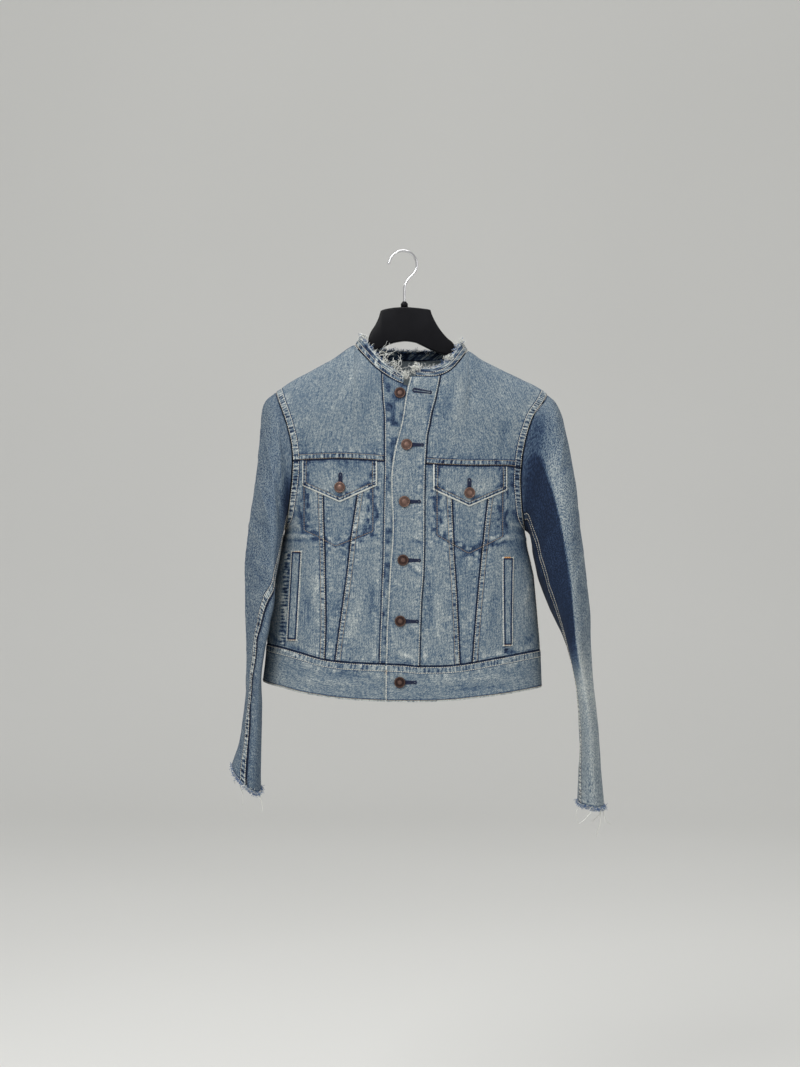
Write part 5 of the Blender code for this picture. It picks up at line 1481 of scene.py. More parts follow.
def dress_back():
    step = settings("cloth").back_step
    shoulder, yoke, waist = along(SHOULDER), along(BACK_YOKE_SEAM), along(BACK_WAIST_SEAM)
    right, left = outer_line(1, -1), outer_line(2, 1)

    def yoke_top(x):
        over_neck = (x > RIGHT_NECK) & (x < LEFT_NECK)
        return np.where(over_neck, curve(NECK_BACK, x), shoulder(x))

    marks = [0, share_across(right, left, RIGHT_NECK), share_across(right, left, LEFT_NECK), 1]
    seams = (right, left, yoke_top, yoke)
    cols, _ = grid_size("back", seams, millimetres(step))
    runs = [np.linspace(a, b, max(int(cols * (b - a)), 4)) for a, b in zip(marks[:-1], marks[1:])]
    torso_cloth("back_yoke", seams, ("armhole", "armhole", "plain", "yoke"), 0.62, step,
                columns=np.unique(np.concatenate(runs)), own_lumps=0.6)
    inner_right, inner_left = along(BACK_SEAMS["right"]), along(BACK_SEAMS["left"])
    for side, outer, seam in (("right", right, inner_right), ("left", left, inner_left)):
        torso_cloth("back_side_" + side, (outer, seam, yoke, waist),
                    ("armhole", "felled", "under", "under"), 0.58, step)
    torso_cloth("back_centre", (inner_right, inner_left, yoke, waist),
                ("under", "under", "under", "under"), 0.64, step)


def dress_waistband():
    """One band right round; its buttonhole end laps over its button end at the front.

    girth is 0 at the middle of the front, 1 and 3 at the sides and 2 at the middle of the back.
    """
    step = millimetres(settings("cloth").front_step)
    underlap = float(curve(UNDERLAP_EDGE, BAND_LEVEL))
    start, end = p_at(curve(PLACKET_EDGE, BAND_LEVEL), BAND_LEVEL), p_at(underlap, BAND_LEVEL)
    girth = np.arange(start, 4 + end, step / BAND_QUARTER)
    rows = even(int(BAND_WIDTH / step) + 1)
    grid, out = np.zeros((len(rows), len(girth), 3)), np.zeros((len(rows), len(girth), 3))
    over = (girth > 1) & (girth < 3)
    faces = (("back", over, 2 - girth, BACK_WAIST_SEAM, BACK_HEM),
             ("front", ~over, np.where(girth <= 1, girth, girth - 4), WAIST_SEAM, HEM))
    for side, chosen, p, upper, lower in faces:
        p = np.broadcast_to(p[chosen], (len(rows), chosen.sum()))
        z = np.full(p.shape, BAND_LEVEL)
        for _ in range(8):
            x = x_at(p, z)
            z = curve(upper, x) + (curve(lower, x) - curve(upper, x)) * rows[:, None]
        w = depth_w(x, z)
        grid[:, chosen], out[:, chosen] = torso_point(side, p, w), torso_normal(side, p, w)
    cloth = Cloth(grid, out, 31)
    cloth.weave = np.stack([cloth.v, cloth.u], -1)
    for side, chosen, _, _, _ in faces:
        lift, tone = torso_creases(side, grid[:, chosen, 0], grid[:, chosen, 2])
        cloth.lift[:, chosen] += lift
        cloth.tone[:, chosen] = tone
    edges = ("turned", "plain", "band", "hem")
    cloth.sew_edges(edges)
    first = girth <= 1
    past_lap = (grid[len(rows) // 2, first, 0] - underlap - BAND_LAP_RAMP[0]) / BAND_LAP_RAMP[1]
    cloth.lift[:, first] += (DOUBLED + LAY) * (1 - np.clip(past_lap, 0, 1)) ** 2
    make_wall("waistband", cloth, keep_back(grid), BAND_PROUD, BAND_PROUD - DOUBLED * 1.1,
              finish_of(edges, 0.58), lining())


def neck_seam():
    """Points round the neck seam: right front, back, left front, evenly spaced."""
    yokes = {side: MADE["front_yoke_" + side].base[0] for side in SIDES}
    right_top, left_top = yokes["right"], yokes["left"]
    right_row = right_top[right_top[:, 0] >= RIGHT_NECK - 0.01][::-1]
    left_row = left_top[left_top[:, 0] <= LEFT_NECK + 0.01]
    left_row = left_row[::-1] if left_row[0, 0] < left_row[-1, 0] else left_row
    back = MADE["back_yoke"].base[0]
    back = back[(back[:, 0] > RIGHT_NECK + 0.5) & (back[:, 0] < LEFT_NECK - 0.5)]
    right = [at_xz("front", x, float(curve(NECK_RIGHT, x)))[0]
             for x in np.linspace(BAND_RIGHT_END, right_row[0, 0], 12)[:-1]]
    left = [at_xz("front", x, float(curve(NECK_LEFT, x)))[0]
            for x in np.linspace(left_row[-1, 0], BAND_LEFT_END, 12)[1:]]
    return resample(np.concatenate([right, right_row, back, left_row, left]), 2.0)


def resample(line, pitch, start=0.0, stop=0.0):
    """Evenly spaced points along a line, pitch apart or a little more."""
    line = np.asarray(line, float)
    run = np.concatenate([[0], np.cumsum(np.linalg.norm(np.diff(line, axis=0), axis=1))])
    steps = max(int((run[-1] - start - stop) / pitch), 1)
    at = np.linspace(start, run[-1] - stop, steps + 1)
    return np.stack([np.interp(at, run, line[:, k]) for k in range(line.shape[1])], -1)


def smoothed(line, times):
    """A line of points with its corners rounded off."""
    for _ in range(times):
        line[1:-1] = (line[:-2] + 2 * line[1:-1] + line[2:]) / 4
    return line


def dress_neck_band():
    seam = smoothed(neck_seam(), 3)
    foot, rise, out = neck_band_grid(seam)
    points = foot[None] + rise[None] * even(9)[::-1, None, None]
    cloth = Cloth(points, np.broadcast_to(out, points.shape).copy(), 53)
    cloth.lift += 0.35 * uneven(81, cloth.u, cloth.v, 9.0)
    cloth.tone += 1.7 * np.clip(uneven(82, cloth.u, cloth.v, 5.5), -1, 0.45)
    edges = (None, None, "hem", "felled")
    cloth.sew_edges(edges)
    make_wall("neck_band", cloth, points, 0.0, -DOUBLED, finish_of(edges, 0.54),
              denim("denim_inside_band", (None, None, None, "armhole"), 0.36))


def sleeve_wear_and_shade(side, along_, degrees):
    """Painted shade over less washed cloth on the inner side of a sleeve's front fold, a pale strip of wear
    and painted highlight beside the fold, and painted shade at the armpit.
    """
    turn = (degrees + 180) % 360 - 180
    past = turn - FOLD_ANGLE[side]
    # inner: painted shade on the face turned in towards the body, over cloth that is also less washed.
    inner = np.where(turn < -100, 1.0, smooth_step(-1.5, 1.5, past))
    inner = inner * (0.12 + 0.88 * smooth_step(-0.3, 2.6, along_))
    fade = (1 - SEAM_FADE[side] * smooth_step(12, 42, past)) * smooth_step(*FOLD_END[side], along_)
    # worn: a pale strip just outside the front fold, partly wear and partly painted highlight on the lit
    # face.
    worn = smooth_step(-40, -6, past) * (1 - smooth_step(-5, 1, past)) * smooth_step(0.5, 2, along_)
    # Painted shade at the armpit, where the sleeve meets the body.
    armpit_shade_mask = np.exp(-((along_ - 0.6) / 1.0) ** 2) * smooth_step(*ARMPIT_SHADE_TURN[side], turn)
    low = smooth_step(6.2, 7.6, along_) * (1 + np.exp(-((along_ - 8.0) / 1.3) ** 2))
    dark, pale, armpit_shade = SLEEVE_SHADE_AND_WEAR_TONES[side]
    return pale * worn + LOW_SLEEVE_TONE[side] * low - dark * inner * fade - armpit_shade * armpit_shade_mask


def dress_sleeves():
    step = millimetres(settings("cloth").sleeve_step)
    once_round = 360 * DEGREE_STEP
    for side in SIDES:
        sections = len(SLEEVES[side])
        keys = np.arange(sections + 1)
        rows = int(sections * SECTION_STEP / step) + 1
        marks = [(a * SECTION_STEP, b * DEGREE_STEP, c * SECTION_STEP, d * DEGREE_STEP, *rest)
                 for a, b, c, d, *rest in SLEEVE_CREASES[side]]
        for part, start, end, seam_edge in (
                ("sleeve_upper_", np.full(sections + 1, BACK_SEAM - 360), front_seam(side), "sleeve"),
                ("sleeve_under_", front_seam(side), np.full(sections + 1, BACK_SEAM), "under")):
            along_ = np.linspace(0, sections, rows)
            first, last = np.interp(along_, keys, start), np.interp(along_, keys, end)
            cols = int((last - first).max() * DEGREE_STEP / step) + 1
            degrees = first[:, None] + (last - first)[:, None] * even(cols)
            along_ = np.broadcast_to(along_[:, None], degrees.shape).copy()
            points, out = sleeve_surface(side, along_, degrees)
            cloth = Cloth(points, out, seed_of(part + side))
            down, around = along_ * SECTION_STEP, degrees * DEGREE_STEP
            for turn in (-once_round, 0, once_round):
                crease, tone = crease_marks(marks, down, around + turn)
                cloth.lift += crease
                cloth.tone += 0.35 * tone
            cloth.tone += sleeve_wear_and_shade(side, along_, degrees)
            cloth.weave = np.stack([around, down], -1)
            cloth.lift += 0.6 * uneven(7, down, around % once_round, 28.0)
            cloth.crumple(0.4)
            edges = (seam_edge, seam_edge, "plain", "hem")
            cloth.sew_edges(edges)
            make_wall(part + side, cloth, keep_back(points, "lr", 2 * SEAM_GAP), 0.0, -DENIM,
                      finish_of(edges, SLEEVE_WEAR[part + side], 0.62), lining())


# Sewing

def in_from(cloth, edge, inset):
    """Points of a piece's outer face, and outward directions, at a distance in from one edge."""
    field = dict(zip(("u0", "u1", "v0", "v1"), cloth.distances()))[edge]
    values = np.concatenate([cloth.outer, cloth.out], -1)
    if edge[0] == "v":
        field, values = field.T, values.swapaxes(0, 1)
    if edge[1] == "1":
        field, values = field[:, ::-1], values[:, ::-1]
    return np.stack([[np.interp(inset, away, line[:, k]) for k in range(6)]
                     for away, line in zip(field, values)])


def lifted(line, rise=0.12):
    return line[:, :3] + line[:, 3:] * rise


class FrontSurface:
    """Finds the front's outermost cloth at an x and z."""

    def __init__(self):
        points, faces, start = [], [], 0
        for name, cloth in MADE.items():
            if name.startswith(("front", "placket", "pocket_flap", "pocket_welt", "waistband")):
                rows, cols = cloth.u.shape
                points.append(cloth.outer.reshape(-1, 3))
                faces.append(wall_faces(rows, cols)[0] + start)
                start += rows * cols
        self.tree = BVHTree.FromPolygons(np.concatenate(points).tolist(), np.concatenate(faces).tolist())

    def at(self, x, z, rise=0.12):
        for aside in (0.0, 0.7, -0.7, 1.4, -1.4):
            point, normal, _, _ = self.tree.ray_cast((x + aside, -300.0, z), (0, 1, 0), 300.0)
            if point is not None:
                break
        else:
            raise RuntimeError("No cloth in front at %.1f, %.1f" % (x, z))
        normal = np.array(normal) * (-1 if normal[1] > 0 else 1)
        return np.array(point) + normal * rise


def thread_tree(name, material):
    """Turns every edge of a mesh into one stitch."""
    tree = bpy.data.node_groups.new(name, "GeometryNodeTree")
    for way in ("INPUT", "OUTPUT"):
        tree.interface.new_socket("Geometry", in_out=way, socket_type="NodeSocketGeometry")
    inputs = {}
    for label in ("Thickness", "Fill"):
        socket = tree.interface.new_socket(label, in_out="INPUT", socket_type="NodeSocketFloat")
        inputs[label] = socket.identifier

    def product(first, second):
        return add_node(tree, "ShaderNodeMath", {"operation": "MULTIPLY"}, {0: first, 1: second}).outputs[0]

    given = add_node(tree, "NodeGroupInput").outputs
    ends = add_node(tree, "GeometryNodeInputMeshEdgeVertices").outputs
    run = add_node(tree, "ShaderNodeVectorMath", {"operation": "SUBTRACT"},
                   {0: ends["Position 2"], 1: ends["Position 1"]})
    keep = add_node(tree, "GeometryNodeCaptureAttribute", {"domain": "EDGE"}, {0: given["Geometry"]})
    keep.capture_items.new("VECTOR", "Run")
    tree.links.new(run.outputs[0], keep.inputs[1])
    edges, run = keep.outputs[0], keep.outputs[1]
    points = add_node(tree, "GeometryNodeMeshToPoints", {"mode": "EDGES"}, {"Mesh": edges})
    turn = add_node(tree, "FunctionNodeAlignRotationToVector", {"axis": "X"}, {"Vector": run})
    long_ = add_node(tree, "ShaderNodeVectorMath", {"operation": "LENGTH"}, {0: run}).outputs["Value"]
    half_length = product(product(long_, given["Fill"]), STITCH_HALF)
    half = product(given["Thickness"], 0.5)
    sizes = add_node(tree, "ShaderNodeCombineXYZ", {}, {0: half_length, 1: half, 2: half})
    bead = add_node(tree, "GeometryNodeMeshIcoSphere", {}, {"Radius": 1.0, "Subdivisions": 1})
    beads = add_node(tree, "GeometryNodeInstanceOnPoints", {}, {
        "Points": points.outputs[0], "Instance": bead.outputs["Mesh"],
        "Rotation": turn.outputs["Rotation"], "Scale": sizes.outputs[0]})
    real = add_node(tree, "GeometryNodeRealizeInstances", {}, {0: beads.outputs[0]})
    paint = add_node(tree, "GeometryNodeSetMaterial", {}, {0: real.outputs[0], "Material": material})
    add_node(tree, "NodeGroupOutput", {}, {0: paint.outputs[0]})
    return tree, inputs


def sew(name, thread, lines, thickness, fill):
    """One mesh of stitches, one along each span of the lines."""
    material = bpy.data.materials.get("thread_" + thread) or thread_finish(thread, THREADS[thread])
    points, edges = [], []
    for line in lines:
        edges += [(len(points) + i, len(points) + i + 1) for i in range(len(line) - 1)]
        points += (np.asarray(line) * METRES).tolist()
    guide = bpy.data.meshes.new(name)
    guide.from_pydata(points, edges, [])
    piece = linked(name, guide)
    tree, inputs = thread_tree(name + "_tree", material)
    modifier = piece.modifiers.new("Stitches", "NODES")
    modifier.node_group = tree
    modifier[inputs["Thickness"]] = thickness
    modifier[inputs["Fill"]] = fill
    bpy.context.view_layer.update()
    mesh = bpy.data.meshes.new_from_object(piece.evaluated_get(bpy.context.evaluated_depsgraph_get()))
    if not mesh.polygons:
        raise RuntimeError(name + " has no stitches")
    piece.modifiers.clear()
    piece.data = mesh
    mesh.name = name
    mesh.shade_smooth()
    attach(piece, BODY)


def rotated(x, z, tilt):
    c, s = math.cos(math.radians(tilt)), math.sin(math.radians(tilt))
    return x * c - z * s, x * s + z * c


def sew_rows():
    sewing = settings("sewing")
    pitch = millimetres(sewing.pitch)
    groups = {}
    for names, edges, trims, *rows in ROWS:
        area = next((area for area in ("sleeve", "back") if area in names), "front")
        for side in SIDES if "*" in names else ("",):
            for edge in edges.split():
                for thread, inset in rows:
                    line = lifted(in_from(MADE[names.replace("*", side)], edge, inset))
                    groups.setdefault((thread, area), []).append(resample(line, pitch, *trims))
    surface = FrontSurface()
    for side in SIDES:
        outline = [surface.at(*point) for point in resample(np.array(bag_outline(side)), 1.5)]
        groups[("tan", "front")].append(resample(outline, pitch))
    for (thread, area), lines in groups.items():
        name = "sewing_%s_%s" % (thread, area if area != "sleeve" else "sleeves")
        sew(name, thread, lines, sewing.thickness, sewing.fill)


def sew_buttonholes():
    """Purl stitches round each slit, a strip of dark thread in each open slit, partly the buttonhole's own
    thread and partly painted shade of the opening, and bar tacks.
    """
    surface = FrontSurface()

    def over(x, z, tilt, places, rise):
        """Points on the cloth, from places along and across a slit."""
        turned_ = [rotated(a, b, tilt) for a, b in places]
        return [surface.at(x + a, z + b, rise) for a, b in turned_]

    half = BUTTONHOLE_WIDTH / 2
    purls, slit_thread_and_shade, tacks = [], [], []
    for number_, (x, z, long_, tilt) in enumerate(BUTTONHOLES):
        steps = int(long_ / PURL_PITCH)
        for step in range(steps + 1):
            run = -long_ / 2 + step * PURL_PITCH
            wide = half * (1.25 - 0.55 * step / steps) if tilt < 45 else half
            for sign in (-1, 1):
                purls.append(over(x, z, tilt, [(run, sign * 0.5), (run, sign * wide)], 0.3))
        for angle in np.radians(np.linspace(-90, 90, 9)):
            for end in (-1, 1):
                places = [(end * (long_ / 2 + r * math.cos(angle)), r * math.sin(angle)) for r in (0.5, half)]
                purls.append(over(x, z, tilt, places, 0.3))
        if number_:      # the top one, left undone, shows no open slit
            # Dark indigo thread along the open slit: partly the buttonhole's own thread, partly standing in
            # for the shade inside the opening.
            middle = [(run, 0) for run in np.arange(-long_ / 2, long_ / 2, 2.0)]
            slit_thread_and_shade.append(over(x, z, tilt, middle, 0.1))
    for x, z, long_, tilt in BAR_TACKS:
        for run in np.arange(-long_ / 2, long_ / 2, 0.7):
            tacks.append(over(x, z, tilt, [(run, -1.1), (run, 1.1)], 0.3))
    sew("buttonhole_purls", "indigo", purls, 1.6 * METRES, 1.0)
    sew("buttonhole_slits", "indigo", slit_thread_and_shade, 2.4 * METRES, 1.2)
    sew("bar_tacks", "orange", tacks, 0.8 * METRES, 1.0)


# Frayed edges

def yarn_ends(name, node, roots, ways, lengths, tints, wander, droop, seed, radius=None, steps=5):
    """Loose ends as thin three-sided yarns that wander and droop."""
    rng = np.random.default_rng(seed)
    count, sides = len(roots), 3
    radius = radius or millimetres(settings("fray").thickness) / 2
    spine = np.zeros((count, steps + 1, 3))
    spine[:, 0] = roots
    way = ways.copy()
    for step in range(steps):
        way = unit(way + rng.normal(0, wander, way.shape) + np.array([0, 0, -droop]))
        spine[:, step + 1] = spine[:, step] + way * (lengths / steps)[:, None]
    way = unit(spine[:, -1] - spine[:, 0])
    first = unit(np.cross(way, np.where(np.abs(way[:, 2:]) < 0.9, [[0.0, 0, 1]], [[1.0, 0, 0]])))
    second = np.cross(way, first)
    angle = 2 * math.pi * np.arange(sides)[:, None] / sides
    around = first[:, None] * np.cos(angle) + second[:, None] * np.sin(angle)
    taper = radius * np.linspace(1.0, 0.45, steps + 1)
    points = spine[:, :, None] + around[:, None] * taper[None, :, None, None]
    size = (steps + 1) * sides
    caps = np.array([[0, 2, 1], [size - 3, size - 2, size - 1]])
    starts = (np.arange(count) * size)[:, None, None]
    faces = [(shape[None] + starts).reshape(-1, shape.shape[1]).tolist()
             for shape in (ring_quads(steps + 1, sides), caps)]
    piece = mesh_object(name, points.reshape(-1, 3), faces[0] + faces[1],
                        [bpy.data.materials.get("yarn_ends") or fray_finish()],
                        [("tint", "FLOAT", np.repeat(tints, size))])
    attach(piece, BODY)
    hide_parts(node)


def fringe(name, node, kind, rng, edge, way, out, count, seed):
    """Loose ends all along a raw edge; way is the cloth's own direction there."""
    depth, scatter, lean, (scale, least, most), white, darkest, wander, droop = FRINGES[kind]
    at = rng.uniform(0, len(edge) - 1.001, count)
    i, t = at.astype(int), (at % 1)[:, None]
    roots = edge[i] * (1 - t) + edge[i + 1] * t - out[i] * rng.uniform(*depth, (count, 1))
    roots -= way[i] * 0.8
    ways = unit(way[i] + rng.normal(0, scatter, roots.shape) + out[i] * rng.uniform(*lean, (count, 1)))
    lengths = np.clip(rng.gamma(2.2, scale, count) + least, 1, most)
    tints = np.where(rng.random(count) < white, rng.uniform(0.6, 1, count), rng.uniform(darkest, 0.5, count))
    yarn_ends(name, node, roots, ways, lengths, tints, wander, droop, seed)


def fray_neck():
    band = MADE["neck_band"]
    rng = np.random.default_rng(21)
    top, out = band.outer[0], band.out[0]
    fringe("fray_neck", "neck_fray", "neck", rng, top, unit(top - band.outer[1]), out,
           settings("fray").neck_ends, 22)
    spots, towards, lengths, tints = [], [], [], []
    for x, z, count, spread, way, reach in TUFTS:
        near = int(np.argmin(np.hypot(top[:, 0] - x, top[:, 2] - z) + 60 * (top[:, 1] > 0)))
        spots.append(top[near] - out[near] + rng.normal(0, spread, (count, 3)) * (1, 0.5, 1))
        towards.append(unit(np.array(way) + rng.normal(0, 0.5, (count, 3))))
        lengths.append(rng.uniform(0.4, 1.0, count) * reach)
        tints.append(rng.uniform(0.75, 1.0, count))
    yarn_ends("tufts_neck", "neck_fray", *map(np.concatenate, (spots, towards, lengths, tints)),
              0.5, 0.04, 23, steps=9)


TUFTS = (
    # x      z     count  spread  way               reach: knots of white ends on the neck band
    (-1.0, -190.0, 110, 2.4, (0.2, -0.3, 0.3), 11.0),
    (20.0, -181.0, 150, 2.8, (-0.3, -0.4, 0.2), 12.0),
    (60.0, -155.0, 90, 2.6, (0.0, -0.3, 0.7), 10.0),
    (78.0, -131.0, 60, 2.6, (0.3, 0.0, 0.9), 10.0),
    (-64.0, -131.0, 60, 3.0, (0.2, 0.0, 0.9), 10.0),
    (-36.0, -164.0, 26, 6.0, (0.9, 0.4, 0.5), 26.0),
    (-16.0, -182.0, 34, 6.0, (0.3, 0.3, 1.0), 24.0),
)
FRINGES = {
    # roots' depth, scatter, lean outwards, length (scale, least, most), white share, darkest tint,
    # wander, droop
    "neck": ((0.2, 1.8), 0.55, (-0.5, 0.7), (1.5, 2.0, 10), 0.42, 0.0, 0.55, 0.05),
    "cuff": ((0.1, 1.1), 0.60, (-0.1, 0.5), (1.2, 3.0, 9), 0.30, 0.1, 0.60, 0.12),
}
LOOSE_THREADS = {
    # degrees round the cuff, drift in x and y, fall, tint
    "right": ((75, 6, -2, 40, 0.9), (120, 10, -6, 26, 0.95), (40, 3, -3, 22, 0.8), (150, 12, 2, 18, 0.9)),
    "left": ((60, -20, -4, 53, 0.95), (20, 2, -3, 30, 0.9), (335, -9, 3, 30, 0.95), (90, -8, -4, 36, 0.9),
             (120, -12, 2, 26, 0.9), (45, 6, -2, 22, 0.9)),
}
LOOSE_RADIUS = 1.0


def fray_cuffs():
    for side, seed, outwards in (("right", 41, -1), ("left", 42, 1)):
        node = "cuff_fray_" + side
        parts = [MADE["sleeve_upper_" + side], MADE["sleeve_under_" + side]]
        edge, above = (np.concatenate([part.outer[row] for part in parts]) for row in (-1, -3))
        out = np.concatenate([part.out[-1] for part in parts])
        fringe("fray_cuff_" + side, node, "cuff", np.random.default_rng(seed), edge, unit(edge - above),
               out, settings("fray").cuff_ends, 43)
        away = edge - edge.mean(0)
        around = np.degrees(np.arctan2(-away[:, 1], away[:, 0] * outwards)) % 360
        angles, x, y, fall, tints = np.array(LOOSE_THREADS[side], float).T
        at = [int(np.argmin(np.abs((around - angle + 180) % 360 - 180))) for angle in angles]
        drift = np.stack([x, y, -fall], -1)
        yarn_ends("loose_threads_" + side, node, edge[at] - out[at] * 0.5, unit(drift),
                  np.linalg.norm(drift, axis=1), tints, 0.16, 0.04, 44, LOOSE_RADIUS, steps=14)


# Buttons, hanger and hook

def turned(name, profile, sides, origin, axis, material):
    """A turned piece: (radius, height) points from the axis and back to it."""
    axis = unit(np.asarray(axis, float))
    first = unit(np.cross(axis, (0.0, 0.0, 1.0) if abs(axis[2]) < 0.9 else (1.0, 0.0, 0.0)))
    rings = np.array(profile[1:-1])
    angle = 2 * math.pi * np.arange(sides)[:, None] / sides
    circle = first * np.cos(angle) + np.cross(axis, first) * np.sin(angle)
    body = origin + axis * rings[:, 1, None, None] + circle[None] * rings[:, 0, None, None]
    ends = np.array([origin + axis * profile[0][1], origin + axis * profile[-1][1]])
    foot = len(rings) * sides
    last = foot - sides
    faces = ring_quads(len(rings), sides).tolist()
    faces += [(foot, (k + 1) % sides, k) for k in range(sides)]
    faces += [(foot + 1, last + k, last + (k + 1) % sides) for k in range(sides)]
    level = np.append(np.repeat(rings[:, 1], sides), (0.0, profile[-1][1]))
    piece = mesh_object(name, np.concatenate([body.reshape(-1, 3), ends]), faces, [material],
                        [("raised", "FLOAT", np.clip((level - 2.5) / 0.42, 0, 1))])
    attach(piece, BODY)
    return piece


def make_buttons():
    sides = settings("buttons").sides
    for name, x, z, lift in BUTTONS:
        point, out = at_xz("front", float(x), float(z))
        material = button_finish(name, BUTTON_PATINA.get(name, USUAL_PATINA))
        piece = turned("metal_" + name, BUTTON_TURNING, sides, point + out * (lift + LAY + 0.2), out,
                       material)
        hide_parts(name)


def hanger_section(x, top, bottom, half):
    """Rounded outline of the hanger's body at x, from the top's middle round to it again."""
    bevel = min(HANGER_BEVEL, (top - bottom) / 4)
    flat = half - bevel
    carried = x < RIGHT_NECK or x > LEFT_NECK

    def high(y):
        return min(top, under_cloth(x, y)) if carried else top

    crown = [(y, high(y)) for y in np.linspace(0, flat, 5)]
    fall = high(half) if carried else top
    corner = [(flat + bevel * math.sin(a), fall - bevel + bevel * math.cos(a) if not carried else
               min(high(flat + bevel * math.sin(a)), fall + bevel) - bevel * (1 - math.cos(a)))
              for a in np.radians((22, 45, 68, 90))]
    low_corner = [(flat + bevel * math.cos(a), bottom + bevel - bevel * math.sin(a))
                  for a in np.radians((0, 22, 45, 68, 90))]
    base = [(y, bottom) for y in np.linspace(flat, 0, 4)[1:]]
    one_side = crown + corner + low_corner + base
    return one_side + [(-y, z) for y, z in one_side[-2:0:-1]]


def make_hanger():
    material = plastic_finish()
    xs = [row[0] for row in HANGER]
    stations = np.concatenate([np.linspace(a, b, 6)[:-1] for a, b in zip(xs[:-1], xs[1:])] + [xs[-1:]])
    rings = []
    for x in map(float, stations):
        top, bottom, half = (float(curve(column(HANGER, k), x)) for k in (1, 2, 3))
        rings.append([(x, y, z) for y, z in hanger_section(x, top, bottom, half)])
    rings = np.array(rings)
    count, sides = rings.shape[:2]
    points = np.concatenate([rings.reshape(-1, 3), rings[:1].mean(1), rings[-1:].mean(1)])
    middle, last = count * sides, (count - 1) * sides
    caps = [(middle, (k + 1) % sides, k) for k in range(sides)]
    caps += [(middle + 1, last + k, last + (k + 1) % sides) for k in range(sides)]
    piece = mesh_object("hanger_moulding", points, closed_tube(points, count, sides, caps), [material])
    piece.data.set_sharp_from_angle(angle=math.radians(38))
    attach(piece, BODY)
    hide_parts("hanger_body")
    piece = turned("ferrule_moulding", FERRULE, 40, np.array([SHANK_X, 0.0, SHANK_FOOT]), (0, 0, 1),
                   material)
    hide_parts("hanger_ferrule")


def make_hook():
    """Bent wire: a near circle over the origin, then a bend back to the upright shank."""
    angles = np.radians(np.linspace(HOOK_TIP_ANGLE, HOOK_HEEL_ANGLE, 64))
    route = [HOOK_LIP]
    route += [(HOOK_RADIUS * math.cos(a), HOOK_CENTRE + HOOK_RADIUS * math.sin(a)) for a in angles]
    x, z = route[-1]
    route += [(x + (SHANK_X - x) * (1 - (1 - step) ** 2), z + (SHANK_BEND - z) * step)
              for step in np.linspace(0, 1, 12)[1:]]
    route.append((SHANK_X, SHANK_FOOT + 8.3))
    line = smoothed(resample(route, 1.6), 4)
    way = unit(np.gradient(line, axis=0))
    sides, count, nothing = 20, len(line), np.zeros(len(line))
    radii = np.full(count, WIRE / 2)
    radii[:3] *= (0.45, 0.80, 0.96)
    across = np.stack([way[:, 1], nothing, -way[:, 0]], -1)[:, None]
    angle = 2 * math.pi * np.arange(sides)[:, None] / sides
    circle = across * np.cos(angle) + np.array([0, 1.0, 0]) * np.sin(angle)
    rings = np.stack([line[:, 0], nothing, line[:, 1]], -1)[:, None] + radii[:, None, None] * circle
    points = rings.reshape(-1, 3)
    caps = [tuple(range(sides))[::-1], tuple(range(len(points) - sides, len(points)))]
    piece = mesh_object("hook_wire", points, closed_tube(points, count, sides, caps), [steel_finish()])
    piece.data.set_sharp_from_angle(angle=math.radians(60))
    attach(piece, BODY)
    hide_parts("hanger_hook")


# Stage

def area_light(name, place, target, size, watts):
    lamp = bpy.data.lights.new(name, "AREA")
    lamp.shape = "SQUARE"
    lamp.size = size
    lamp.energy = watts
    item = linked(name, lamp)
    item.location = place
    item.rotation_euler = (Vector(target) - Vector(place)).to_track_quat("-Z", "Y").to_euler()


def make_stage():
    stage, scene = settings("stage"), bpy.context.scene
    floor, foot = stage.floor_level, SWEEP_FAR - SWEEP_RADIUS
    profile = [(SWEEP_NEAR, floor), (foot, floor)]
    profile += [(foot + SWEEP_RADIUS * math.sin(a), floor + SWEEP_RADIUS - SWEEP_RADIUS * math.cos(a))
                for a in np.radians(np.linspace(0, 90, 24))[1:]]
    profile.append((SWEEP_FAR, floor + SWEEP_HEIGHT))
    points = [(x / METRES, y / METRES, z / METRES) for x in (-SWEEP_WIDTH / 2, SWEEP_WIDTH / 2)
              for y, z in profile]
    count = len(profile)
    faces = [(count + i, count + i + 1, i + 1, i) for i in range(count - 1)]
    finish = Finish("backdrop", Roughness=0.8)
    cloudy = (finish.noise(finish.place(), 0.7, detail=1.0) * 0.4 + 0.5).clamped()
    shade = tuple(0.96 * part for part in stage.backdrop)
    finish.feed("Base Color", finish.mixed(cloudy, tuple(stage.backdrop), shade))
    mesh_object("sweep", points, faces, [finish.material])
    camera = bpy.data.cameras.new("camera")
    camera.sensor_fit = "HORIZONTAL"
    camera.angle_x = 2 * math.atan(stage.view_width / 2 / stage.camera_distance)
    eye = linked("camera", camera)
    eye.location = (EYE_X * METRES, -stage.camera_distance, EYE_Z * METRES)
    eye.rotation_euler = (math.radians(90), 0, 0)
    scene.camera = eye
    scene.world = bpy.data.worlds.new("studio")
    scene.world.use_nodes = True
    light = scene.world.node_tree.nodes["Background"].inputs
    light["Color"].default_value = (1.0, 1.0, 1.0, 1.0)
    light["Strength"].default_value = stage.ambient
    scene.view_settings.view_transform = "Standard"
    for name, place, target, size, setting, part in LAMPS:
        area_light(name, place, target, size, getattr(stage, setting) * part)


# The add-on's classes

def require(*pieces):
    """Stops a step whose pieces are not made yet."""
    missing = [name for name in pieces if name not in MADE]
    if missing:
        raise RuntimeError("Make these first: " + ", ".join(missing))


class JACKET_OT_fronts(bpy.types.Operator):
    """Yokes, side panels, wedges and centre panels"""
    bl_idname = "jacket.fronts"
    bl_label = "Fronts"

    def execute(self, context):
        dress_fronts()
        return {"FINISHED"}


